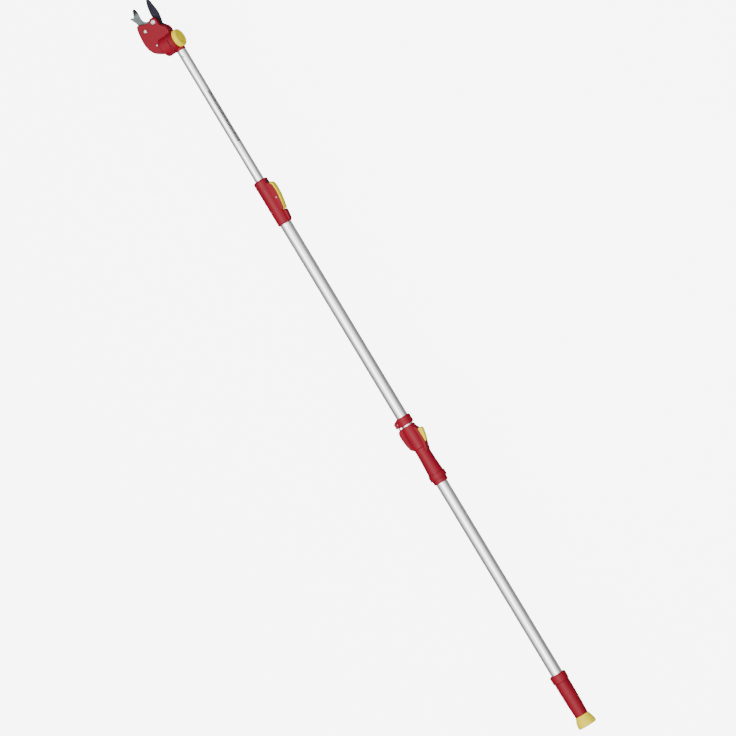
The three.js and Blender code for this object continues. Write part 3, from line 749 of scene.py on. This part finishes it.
def end_grip():
    low, high = span("end_grip")
    start, stop, thick = low.x, high.x, high.z
    seat = start + 10.4
    profile = fillet([
        (start, 8.3), (start, 18.2, 1.0), (start + 29, 19.5, 30), (start + 69, 20.4, 60),
        (stop - 25.5, 20.5, 2), (stop - 24.6, 19.9, 0.6), (stop - 23.4, 19.9, 0.6),
        (stop - 22.6, thick - 0.5, 1.2), (stop - 3, thick, 2.0), (stop, thick - 2.4, 1.4),
        (stop, FIXED_BORE, 0.4), (seat, FIXED_BORE), (seat, 8.3),
    ], steps=5)
    grip = lathe("end_grip_moulding", profile, segments=128)
    at = on_axis("grip_screw_back")
    cut(grip, post("hole", -30, 0, 2.5, at=at), post("hole", 0, 30, 2.5, axis="y", at=at),
        block("seam", (start + 4, 19.7, -0.22), (stop - 1, 26.3, 0.22)))
    fit(grip, "outer_pole", "red_plastic", ["end_grip"])
    screw("grip_screw_side", "outer_pole", 20.0, 21.9, 2.2, "y", at, (3.6, 1.5))
    screw("grip_screw_back", "outer_pole", -20.0, -21.9, 2.2, "z", at, (3.6, 1.5))


def outlet_collar():
    low, high = span("outlet_collar")
    start, stop, radius = low.x, high.x, high.z
    body = lathe("outlet_collar_moulding", fillet([
        (start, 14), (start, radius, 1.0), (stop - 2, radius, 1.5), (stop, radius - 2.4, 1.2), (stop, 14),
    ], steps=5), segments=128)
    lug_outline = fillet([
        (start + 1.2, 8), (start + 1.2, 26.5, 1.5), (start + 3, 30.4, 1.2), (start + 6.3, 30.4, 1.0),
        (start + 9.2, 28.2, 1.6), (start + 12.2, 30.5, 1.2), (start + 16.4, 29.8, 1.8),
        (start + 21.4, 21.5, 2.5), (start + 22.2, 8),
    ], steps=5)
    lug = slab("lug", lug_outline, -8.5, 8.5, rim=1.5, steps=4)
    join(body, lug)
    roller = in_plane("collar_roller")
    screw_at = on_axis("collar_screw")
    cut(
        body,
        bore(start - 8, stop + 8, FIXED_BORE),
        block("roller_room", (start - 8, 10, -4.4), (roller[0] + 7.4, 27.4, 4.4)),
        post("pin_hole", -10, 10, 1.7, at=roller),
        post("screw_hole", -30, -12, 2.35, axis="y", at=screw_at),
    )
    fit(body, "outer_pole", "red_plastic", ["outlet_collar"])
    wheel = lathe("collar_roller_fine", fillet([
        (-3.6, 1.8), (-3.6, 5.6, 0.4), (-2.9, 5.6, 0.3), (-2.4, 5.2, 0.3), (2.4, 5.2, 0.3), (2.9, 5.6, 0.3),
        (3.6, 5.6, 0.4), (3.6, 1.8),
    ]), "z", roller, 48)
    steel(wheel, "collar_roller", "collar_roller")
    steel(post("collar_pin_fine", -8.4, 8.4, 1.5, at=roller, rim=0.4), "outer_pole", "collar_pin")
    screw("collar_screw", "outer_pole", -18.6, -20.7, 2.2, "y", screw_at, (2.2, 1.5))


def clamp_sleeve():
    low, high = span("clamp_sleeve")
    start, stop, radius = low.x, high.x, high.y
    inner = FIXED_BORE - 3
    body = lathe("clamp_sleeve_moulding", fillet([
        (start, inner), (start, 18.8, 1.0), (start + 4, radius, 2.5), (start + 14, radius - 0.3, 4),
        (stop - 26, radius - 0.3, 4), (stop - 16, radius, 3), (stop - 4.5, radius - 0.2, 2),
        (stop - 1, 18.6, 2), (stop, 17.2, 0.8), (stop, inner),
    ], steps=5), segments=128)
    horn = slab("horn", fillet([
        (start + 1, -8), (start + 1, -19.5, 2), (start + 9, -22.6, 12), (start + 24, -24.6, 8),
        (start + 31.6, -24.2, 1.2), (start + 32, -8),
    ], steps=6), -7.5, 7.5, rim=1.8, steps=4)
    cheek = slab("cheek", fillet([
        (start + 34.6, -3), (start + 34.6, -23.4, 2.5), (start + 51, -26.3, 20), (start + 67, -28.3, 20),
        (start + 82, -30.3, 14), (start + 103, -28.8, 12), (start + 112.5, -23, 8), (start + 115, -10, 6),
        (start + 115, -3),
    ], steps=8), -12, 12, rim=1.8, steps=4)
    join(body, horn, cheek)
    shoe_low, shoe_high = span("clamp_shoe")
    pin = in_plane("lever_pin")
    cheek_at = in_plane("cheek_screw")
    under_at = on_axis("sleeve_screw")
    cut(
        body,
        block("lever_room", (start + 32.3, -60, -8.7), (stop - 7, -18.8, 8.7)),
        block("hub_room", (pin[0] - 14, -60, -8.7), (pin[0] + 14, -16.9, 8.7)),
        bore(start - 20, start + 85.4, FIXED_BORE),
        bore(start - 20, stop + 20, 13.3),
        bore(stop - 5.4, stop + 20, 15.9),
        block("shoe_room", (shoe_low.x - 0.3, -20, -6.8), (shoe_high.x + 0.3, -10, 6.8)),
        post("pin_hole", -20, 10.8, 2.5, at=pin),
        post("cheek_hole", 5, 20, 2.1, at=cheek_at),
        post("under_hole", -30, -10, 2.3, at=under_at),
    )
    fit(body, "outer_pole", "red_plastic", ["clamp_sleeve"])
    steel(post("lever_pin_fine", -11.8, 10.5, 2.2, at=pin, rim=0.5), "outer_pole", "lever_pin")
    screw("cheek_screw", "outer_pole", 11.4, 12.8, 1.9, "z", cheek_at, (2.4, 1.2))
    screw("sleeve_screw", "outer_pole", -18.4, -20.0, 2.1, "z", under_at, (2.0, 1.4))
    ring_low, ring_high = span("wiper_ring")
    wiper = lathe("wiper_ring_fine", fillet([
        (ring_low.x, 12.8), (ring_low.x, 15.6), (ring_high.x - 0.8, 15.6, 0.8), (ring_high.x, 13.4, 0.5),
        (ring_high.x, 12.8),
    ], steps=4))
    fit(wiper, "outer_pole", "wiper_rubber", ["wiper_ring"])


def clamp_lever():
    low, high = span("clamp_lever")
    pin = in_plane("lever_pin")
    hub = arc((pin[0], pin[1] + 0.4), 7.6, 86, -84, 18)
    back = spline([(1610, -33.5), (1594, -32.9), (1576, -30.4), (1560, -26.9), (1551.6, -24.8)], 5)
    inner = spline([(1551.2, -19.7), (1566, -20.2), (1580, -20.8), (1594, -21), (1606, -20.2)], 5)
    tip = bends([(1551.6, -24.8), (1549.7, -24.2, 1.0), (1549.7, -20, 0.6), (1551.2, -19.7)])
    outline = [*hub, *back[:-1], *tip, *inner[1:]]
    lever = slab("clamp_lever_moulding", outline, low.z, high.z, rim=1.3, steps=4)
    cut(lever, post("pin_bore", -20, 20, 2.5, at=pin),
        *finger_grooves(back, first=1555, pitch=3.4, half=6, radius=0.9, segments=20))
    fit(lever, "clamp_lever", "yellow_plastic", ["clamp_lever"])


outer_tube()
end_grip()
outlet_collar()
clamp_sleeve()
clamp_lever()

# ---------- pull knob


def pull_knob():
    high = span("pull_knob")[1]
    stop, radius = high.x, high.z
    profile = fillet([
        (0, 6.6, 0.3), (0, radius - 1.2, 1.6), (1.2, radius, 1.2), (8.5, radius, 8), (15, 24.5, 10),
        (22, 21.9, 10), (stop - 2.6, 19.4, 3), (stop, 18.2, 0.8), (stop, 4.3), (4.4, 4.3), (4.4, 6.6),
    ], steps=7)
    knob = lathe("pull_knob_moulding", profile, segments=128)
    scallop = 9.0
    for y, z in around((0, 0), radius + scallop - 0.9, 10, 0.5):
        cut(knob, post("scallop", -1, 18, scallop, "x", (0, y, z), segments=48))
    fit(knob, "pull_knob", "yellow_plastic", ["pull_knob"])
    head = screw_head("knob_screw_fine", 4.1, 0.9, 5.9, "x", (0, 0, 0))
    join(head, post("knob_screw_shank", 4.0, 26, 2.4, axis="x"))
    steel(head, "pull_knob", "knob_screw")


pull_knob()

# ---------- sliding handle


def handle_shells():
    low, high = span("handle_shell_front")
    start, stop, top = low.x, high.x, high.y
    barrel = lathe("handle", fillet([
        (start, 12), (start, 19.6, 1.2), (start + 4, 20.2, 2), (start + 29, 21.6, 4),
        (start + 41, 20.6, 20), (start + 66, 19.4, 40), (start + 88, 18.8, 30), (start + 104, 18.8, 1.2),
        (start + 106, 20.8, 1.4), (start + 132, 21.2, 30), (start + 156, 21.0, 10),
        (start + 168, 19.6, 3), (stop, 18, 1.0), (stop, 12),
    ], steps=6), segments=128)
    guard_outline = spline([
        (start + 104, 10), (start + 109, 22.8), (start + 118, 26.9), (start + 132, 30.0),
        (start + 148, top), (start + 161, top - 0.9), (start + 168.6, 25.8), (start + 170.4, 18),
        (start + 168, 6), (start + 116, 0),
    ], 6, closed=True)
    guard = slab("guard", guard_outline, -13.5, 13.5, rim=5.0, steps=5)
    housing = slab("housing", fillet([
        (start + 88, -8), (start + 90, -18.0, 4), (start + 104, -21.6, 12), (start + 114, -24.8, 8),
        (start + 152, -24.4, 5), (start + 161, -19.6, 10), (start + 166, -8),
    ], steps=8), -10.2, 10.2, rim=2.4, steps=4)
    join(barrel, guard, housing)
    ribs = []
    first, pitch, growth = start + 121, 9.5, 0.6
    for k in range(4):
        for side in (13.9, -13.9):
            at = (first + pitch * k, 0, side)
            ribs.append(post("rib", 21.0, 24.8 + growth * k, 0.9, "y", at, rim=0.4, segments=16))
    anchor_low = span("band_anchor")[0]
    trigger_low, trigger_high = span("trigger_button")
    screw_at = in_plane("handle_screw")
    ring_low, ring_high = span("handle_ring")
    cut(
        barrel, *ribs,
        tube("ring_seat", ring_low.x - 0.4, ring_high.x + 0.4, 20.0, 30, rim=0),
        bore(start - 20, stop + 20, SLIDE_BORE + 0.3),
        bore(start + 1.7, start + 26.3, 18.3),
        bore(stop - 27.3, stop - 2.7, 18.0),
        block("band_room", (anchor_low.x - 4, 10, -6.4), (stop + 20, 29.2, 6.4)),
        block("trigger_room", (trigger_low.x - 0.6, -60, -6.6), (trigger_high.x + 0.6, -18.3, 6.6)),
        post("pin_hole", -8.9, 8.9, 1.8, at=in_plane("trigger_pin")),
        post("screw_hole", -30, 10.5, 2.0, at=screw_at),
        post("screw_sink", -30, -10.6, 3.7, at=screw_at),
    )
    halves(barrel, "slide_handle", "handle_shell")


def handle_fittings():
    low, high = span("handle_ring")
    ring = lathe("handle_ring_moulding", fillet([
        (low.x, 20.3), (low.x, 23.2, 1.2), (low.x + 5, 24, 5), (high.x - 5, 24, 5), (high.x, 23.2, 1.2),
        (high.x, 20.3),
    ], steps=5), segments=128)
    fit(ring, "slide_handle", "red_plastic", ["handle_ring"])
    for node in ("handle_bush_lower", "handle_bush_upper"):
        bush_low, bush_high = span(node)
        bush = tube(f"{node}_fine", bush_low.x, bush_high.x, TUBE_R + 0.25, bush_high.z, rim=0.8)
        fit(bush, "slide_handle", "black_nylon", [node])
    screw("handle_screw", "slide_handle", -10.8, -13.0, 3.3, "z", in_plane("handle_screw"), (20, 1.7))


def trigger():
    low, high = span("trigger_button")
    crown = spline([(847.2, -25.6), (850, -28.0), (858, -30.7), (868, -33.3), (877, -35.1), (882, -34.6),
                    (885.2, -31.4), (885.7, -26)], 5)
    foot = bends([(885.7, -26), (885.4, -22.4, 1.2), (847.2, -21.2, 1.2), (847.2, -25.6)], 3)
    button = slab("trigger_button_moulding", [*crown[:-1], *foot[:-1]], low.z, high.z, rim=1.6, steps=4)
    spring_at = on_axis("trigger_spring")
    cut(button, *finger_grooves(crown, first=857, pitch=4, half=4.4, radius=0.75, segments=16),
        post("well", -31, -18, 3.8, axis="y", at=spring_at),
        post("pin_bore", -20, 20, 1.8, at=in_plane("trigger_pin")))
    fit(button, "trigger", "yellow_plastic", ["trigger_button"])
    seat, well = -18.8, -30.6
    spring = coil("trigger_spring_fine", well, seat, 2.6, 0.4, 5, "y", spring_at)
    between(spring,
            "fastener_steel", ["trigger_spring"])


def outside_band():
    """The band between the collar's roller and the handle's anchor, which on the tool pays out as the
    handle slides; here it is one fixed straight strip.
    """
    collar = span("outlet_collar")[0].x
    anchor = span("band_anchor")[1].x
    height = middle("collar_roller").y + 6.2
    strip_low, strip_high = anchor - 8, collar + 8
    section = [(0.4, -3.0), (0.4, 3.0), (0.25, 3.3), (-0.25, 3.3)]
    section += [(-y, -z) for y, z in section]
    sides = len(section)
    count = 40
    bm = bmesh.new()
    rows = []
    for i in range(count + 1):
        x = strip_low + (strip_high - strip_low) * i / count
        rows.append([bm.verts.new((x, height + y, z)) for y, z in section])
    for a, b in zip(rows, rows[1:]):
        for k in range(sides):
            j = (k + 1) % sides
            bm.faces.new((a[k], a[j], b[j], b[k]))
    bm.faces.new(rows[0])
    bm.faces.new(rows[-1][::-1])
    strip = new_object("pull_band_outside", bm)
    between(strip, "band_webbing")


handle_shells()
handle_fittings()
trigger()
outside_band()

# ---------- upper pole and tilt joint


def upper_tube():
    pipe = tube("upper_tube_fine", UPPER_LOW.x, UPPER_HIGH.x, UPPER_R - UPPER_WALL, UPPER_R, rim=0.4)
    at = on_axis("socket_rivet_front")
    cut(pipe, post("rivet_holes", -20, 20, 2.2, at=at))
    fit(pipe, "upper_pole", "tube_aluminium", ["upper_tube"])
    profile = bends([
        (7.5, 0), (7.5, 2.0), (12.3, 2.0), (12.5, 3.6, 0.2), (13.3, 2.8, 0.9), (13.6, 0),
    ], 5)
    for node, sign in (("socket_rivet_front", 1), ("socket_rivet_back", -1)):
        rivet = lathe(f"{node}_fine", [(sign * z, reach) for z, reach in profile], "z", at, 32)
        steel(rivet, "upper_pole", node)


def printed_scale():
    """A plain ruled scale along the upper tube, in place of any lettering."""
    bm = bmesh.new()
    first, pitch, count, thick = 1762.0, 4.0, 38, 2.6
    skin = UPPER_R + 0.06
    baseline, facets = 50, 6
    for k in range(count):
        low = first + pitch * k
        width = 9.0 if k % 5 == 0 else 6.6
        for i in range(facets):
            turns = [math.radians(baseline) - width * (i + j) / facets / UPPER_R for j in (0, 1)]
            around_tube = [(-skin * math.cos(a), skin * math.sin(a)) for a in turns]
            corners = [(x, y, z) for x in (low, low + thick) for y, z in around_tube]
            verts = [bm.verts.new(c) for c in corners]
            bm.faces.new((verts[0], verts[1], verts[3], verts[2]))
    bmesh.ops.remove_doubles(bm, verts=bm.verts, dist=1e-3)
    bmesh.ops.solidify(bm, geom=bm.faces[:], thickness=0.05)
    scale = new_object("printed_scale", bm)
    fit(scale, "upper_pole", "black_nylon", material=printed_ink())


def head_socket():
    low = span("head_socket")[0]
    drum = lathe("head_socket_moulding", bends([
        (-6.5, 0), (-6.5, DRUM_R, 1.6), (-3.4, DRUM_R, 0.4), (-2.9, DRUM_R - 0.7, 0.3),
        (-1.9, DRUM_R - 0.7, 0.3), (-1.4, DRUM_R, 0.4), (6, DRUM_R, 0.8), (6, 0),
    ]), "y", TILT, 128)
    neck = post("neck", UPPER_HIGH.x + 0.3, UPPER_HIGH.x + 12, 13.6, axis="x", rim=0.8, segments=96)
    cut(neck, post("head_sweep", 5.6, 60, DRUM_R + 0.5, "y", TILT, segments=96),
        post("knob_sweep", -60, -6.1, 25.05, "y", TILT, segments=96))
    plug = post("plug", low.x, UPPER_HIGH.x + 1, 11.1, axis="x", segments=96)
    join(drum, plug, neck)
    cut(drum, post("channel", low.x - 10, TILT_AT + 1, 6, axis="x"),
        post("chamber", -1, 20, 10, axis="y", at=TILT),
        post("bolt_hole", -20, 20, 4.3, axis="y", at=TILT),
        post("rivet_holes", -20, 20, 2.3, at=on_axis("socket_rivet_front")))
    fit(drum, "upper_pole", "red_plastic", ["head_socket"])


def tilt_washer():
    """A toothed washer, so that the head holds its angle."""
    low, high = span("tilt_washer")
    count, depth = 72, 0.9
    tips = around((0, 0), high.z, count, 0.5)
    roots = around((0, 0), high.z - depth, count)
    teeth = [point for pair in zip(roots, tips) for point in pair]
    washer = slab("tilt_washer_fine", teeth, low.y, high.y, rim=0)
    upright = Matrix.Rotation(math.pi / 2, 4, "X") @ Matrix.Scale(-1, 4, (0, 0, 1))
    washer.data.transform(Matrix.Translation(TILT) @ upright)
    washer.data.flip_normals()
    cut(washer, post("hole", 0, 20, 12, axis="y", at=TILT, segments=64))
    steel(washer, "upper_pole", "tilt_washer")


def tilt_knob():
    low, high = span("tilt_knob")
    radius = high.z
    inner, outer = high.y, low.y
    rim = lathe("tilt_knob_moulding", bends([
        (inner, 0), (inner, radius, 0.8), (outer + 2.6, radius, 2.6), (outer + 0.2, radius - 3.2, 1.2),
        (outer, radius - 6, 0.8), (outer + 0.9, radius - 7, 0.6), (outer + 0.9, 8.5, 0.6),
        (outer + 0.1, 7.6, 0.6), (outer + 0.1, 0),
    ], 5), "y", TILT, 192)
    flute = 1.9
    for x, z in around((TILT_AT, 0), radius + flute - 0.8, 24, 0.5):
        cut(rim, post("flute", outer - 1, inner + 1, flute, "y", (x, 0, z), segments=24))
    cut(rim, post("bolt_room", -16, 0, 4.3, axis="y", at=TILT),
        post("insert_room", -15.3, 0, 7.3, axis="y", at=TILT, segments=6))
    fit(rim, "tilt_knob", "yellow_plastic", ["tilt_knob"])


upper_tube()
printed_scale()
head_socket()
tilt_washer()
tilt_knob()

# ---------- cutting head


def head_shells():
    half, wall = 15.0, 3.4
    left_side = spline([
        (2152.5, 71.8), (2138, 75.6), (2119, 78.0), (2101, 78.3), (2084, 74.6), (2069, 65), (2057.5, 48.5),
        (2050, 32), (2047, 18),
    ], 6)
    lobe = arc(PIVOT, 11.8, -96, 62, 20)
    top_side = spline([lobe[-1], (2145.6, 38), (2147, 47), (2150.4, 56)], 5)
    corner = bends([(2150.4, 56), (2155, 66, 3), (2152.5, 71.8)], 6)
    right_side = bends([
        (2047, 18), (2047, 2.4), (2103, -4.6, 5), (2112, -2.4, 5), (2127, 10.6, 3), lobe[0],
    ], 6)
    outline = [*corner[:-1], *left_side[:-1], *right_side[:-1], *lobe[:-1], *top_side[:-1]]
    casing = slab("head", outline, -half, half, rim=3.0, steps=5)
    drum_low, drum_high = 8.4, 38.0
    drum = lathe("drum", bends([
        (drum_low, 0), (drum_low, DRUM_R, 0.8), (15.4, DRUM_R, 0.4), (16.0, DRUM_R - 0.7, 0.3),
        (17.0, DRUM_R - 0.7, 0.3), (17.6, DRUM_R, 0.4), (drum_high, DRUM_R, 5.0), (drum_high, 0),
    ], 6), "y", TILT, 128)
    cavity_outline = [
        (2128, 68), (2118, 74), (2100, 74.4), (2085, 70.5), (2073, 61), (2063, 46), (2060, 36.5),
        (2082, 36.5), (2082, 11.8), (2104, 11.8), (2106, 2), (2112, 2.4), (2122, 12), (2128, 12),
        (2128, 34), (2132, 42),
    ]
    mouth = [(2104, -20), (2104, 50), (2120, 58), (2128, 73), (2220, 73), (2220, -20)]
    join(casing, drum)
    cut(casing, slab("cavity", cavity_outline, wall - half, half - wall, rim=0))
    sinks = []
    for node, radius in (("hook_screw", 5.4), ("shell_screw", 3.7)):
        at = in_plane(node)
        join(casing, post("boss", -13, 12, 5, at=at))
        sinks.append(post("sink", 12.2, 40, radius, at=at, segments=48))
        sinks.append(post("hole", -11, 40, 2.4, at=at))
    cut(
        casing, *sinks,
        slab("mouth", mouth, -4.3, 4.3, rim=0),
        post("chamber", 0, 36.6, 10, axis="y", at=TILT, segments=48),
        block("chamber_side", (TILT_AT, 11.8, -11), (TILT_AT + 14, 36.5, 11)),
        post("socket_sweep", -60, drum_low, DRUM_R + 0.7, axis="y", at=TILT, segments=128),
        post("spring_room", -11.6, -4, 9.2, at=PIVOT_BOLT),
        post("bolt_hole", -40, 40, 4.2, at=PIVOT_BOLT),
        post("bolt_sink", 11.7, 40, 7.8, at=PIVOT_BOLT, segments=64),
        post("nut_sink", -40, -12.2, 7.8, at=PIVOT_BOLT, segments=6),
        post("anchor_hole", -12.4, 12.4, 1.8, at=in_plane("band_anchor_pin")),
    )
    halves(casing, "head", "head_shell")


def head_fixings():
    profile = bends([
        (-15.4, 0), (-15.4, 3.9, 0.4), (12, 3.9), (12, 7.5, 0.4), (13.6, 7.5, 0.8), (15.6, 5.2, 1.4),
        (15.8, 0),
    ], 5)
    bolt = lathe("pivot_bolt_fine", profile, "z", PIVOT_BOLT, 64)
    cut(bolt, slab("drive", around(PIVOT, 3.0, 6), 13.2, 20, rim=0))
    steel(bolt, "head", "pivot_bolt")
    spring_low, spring_high = span("return_spring")
    spring = coil("return_spring_fine", spring_low.z, spring_high.z, 7.4, 0.7, 3, at=PIVOT_BOLT)
    steel(spring, "head", "return_spring")
    nut = slab("pivot_nut_fine", around(PIVOT, 7.4, 6), -15.2, -12.5, rim=0.4)
    cut(nut, post("bore", -20, 0, 4.15, at=PIVOT_BOLT))
    steel(nut, "head", "pivot_nut")
    for node, radius in (("hook_screw", 5.0), ("shell_screw", 3.3)):
        screw(node, "head", 12.5, 15.0, radius, "z", in_plane(node), (23.0, 1.9))


def hook():
    low, high = span("hook_blade")
    outer = spline([(2192.6, 63.2), (2184, 67.2), (2178, 70.4)], 4)
    barb = bends([
        (2178, 70.4), (2182.0, 79.6, 0.8), (2180.4, 81.0, 0.8), (2171, 77.0, 6), (2163, 72.4),
    ], 5)
    side = spline([(2163, 72.4), (2152, 69), (2136, 66), (2124, 62.5)], 4)
    root = bends([(2124, 62.5), (2122, 52, 4), (2127, 36, 6), (2129.5, 20)])
    lobe = arc(PIVOT, 10.0, 195, 362, 16)
    throat = spline([(2150, 24), (2149.4, 34), (2151.4, 44.6), (2157, 51), (2166, 53.2), (2180, 52.2),
                     (2190, 52.6)], 6)
    tip = bends([(2190, 52.6), (2196.6, 55.6, 2.4), (2197, 60.4, 2.4), (2192.6, 63.2)], 6)
    outline = [*outer[:-1], *barb[:-1], *side[:-1], *root[:-1], *lobe[:-1], *throat[:-1], *tip[:-1]]
    plate = slab("hook_blade_fine", outline, low.z, high.z, rim=0.9, steps=3, rim_top=1.1)
    cut(plate, post("bolt_hole", -5, 20, 4.2, at=PIVOT_BOLT),
        post("screw_hole", -5, 20, 2.5, at=in_plane("hook_screw")))
    fit(plate, "head", "hook_steel", ["hook_blade"])


def blade():
    low, high = span("cutting_blade")
    pulley = in_plane("lever_pulley")
    edge = spline([(2151, 25.6), (2160, 25.8), (2173, 24.0), (2187, 21.0), (2197, 17.0),
                   (BLADE_TIP, 10.6)], 6)
    back = spline([(BLADE_TIP - 0.6, 9.2), (2203.4, 7.3), (2192, 5.4), (2179, 3.2), (2167, 1.2),
                   (2156, 0.6), (2145, 1.7), (2132, 4.6), (2121.5, 7.6)], 5)
    heel = bends([(2121.5, 7.6), (2119.6, 10.8, 1.5), (2126, 15.6, 6), (2132, 18), PIVOT])
    outline = [*edge, *back[:-1], *heel]
    plate = slab("cutting_blade_fine", outline, low.z, high.z, rim=0.5, steps=2)
    lever = Vector(pulley[:2]) - PIVOT
    along = lever.normalized()
    across = Vector((-along.y, along.x))
    taper = [(0, 9.0), (14, 7.4), (28, 6.2), (lever.length, 5.2)]
    arm_points = [PIVOT + along * distance + across * width for distance, width in taper]
    arm_points += [PIVOT + along * distance - across * width for distance, width in taper[::-1]]
    arm = slab("arm", arm_points, low.z, high.z, rim=0.5, steps=2)
    hub = post("hub", low.z, high.z, 10, at=PIVOT_BOLT, rim=0.5, segments=64)
    tail = post("tail", low.z, high.z, 5.2, at=pulley, rim=0.5, segments=40)
    join(plate, hub, arm, tail)
    grind = ground_edge(edge, high.z, low.z)
    cut(plate, grind, post("bolt_hole", -20, 20, 4.2, at=PIVOT_BOLT),
        post("pin_hole", -20, 20, 2.3, at=pulley))
    fit(plate, "blade", "blade_coating", ["cutting_blade"])


def ground_edge(edge, top, bottom):
    """A wedge along the cutting edge that takes the blade's upper face down to a keen lower edge."""
    width, keen, spare = 5.0, 0.35, 2.0
    low_edge = bottom + keen - spare * (top - bottom - keen) / width
    above = top + 3
    edge = [edge[0] * 2 - edge[1], *edge, edge[-1] * 3 - edge[-2] * 2]
    bm = bmesh.new()
    sections = []
    for i, point in enumerate(edge):
        run = edge[min(i + 1, len(edge) - 1)] - edge[max(i - 1, 0)]
        out = Vector((-run.y, run.x)).normalized()
        if out.y < 0:
            out = -out
        inner, outer = point - out * width, point + out * spare
        corners = [(inner, top), (outer, low_edge), (outer, above), (inner, above)]
        sections.append([bm.verts.new((*place, z)) for place, z in corners])
    for a, b in zip(sections, sections[1:]):
        for k in range(4):
            bm.faces.new((a[k], a[(k + 1) % 4], b[(k + 1) % 4], b[k]))
    bm.faces.new(sections[0])
    bm.faces.new(sections[-1][::-1])
    return new_object("grind", bm)


head_shells()
head_fixings()
hook()
blade()

# ---------- CAD nodes that stay

SLOT_OF = {row["node"]: row["material_slot"] for row in frame["record"]["subparts"]}
for name, node in frame["nodes"].items():
    if not node.hide_render:
        for slot in node.material_slots:
            slot.material = MATERIALS[SLOT_OF[name]]
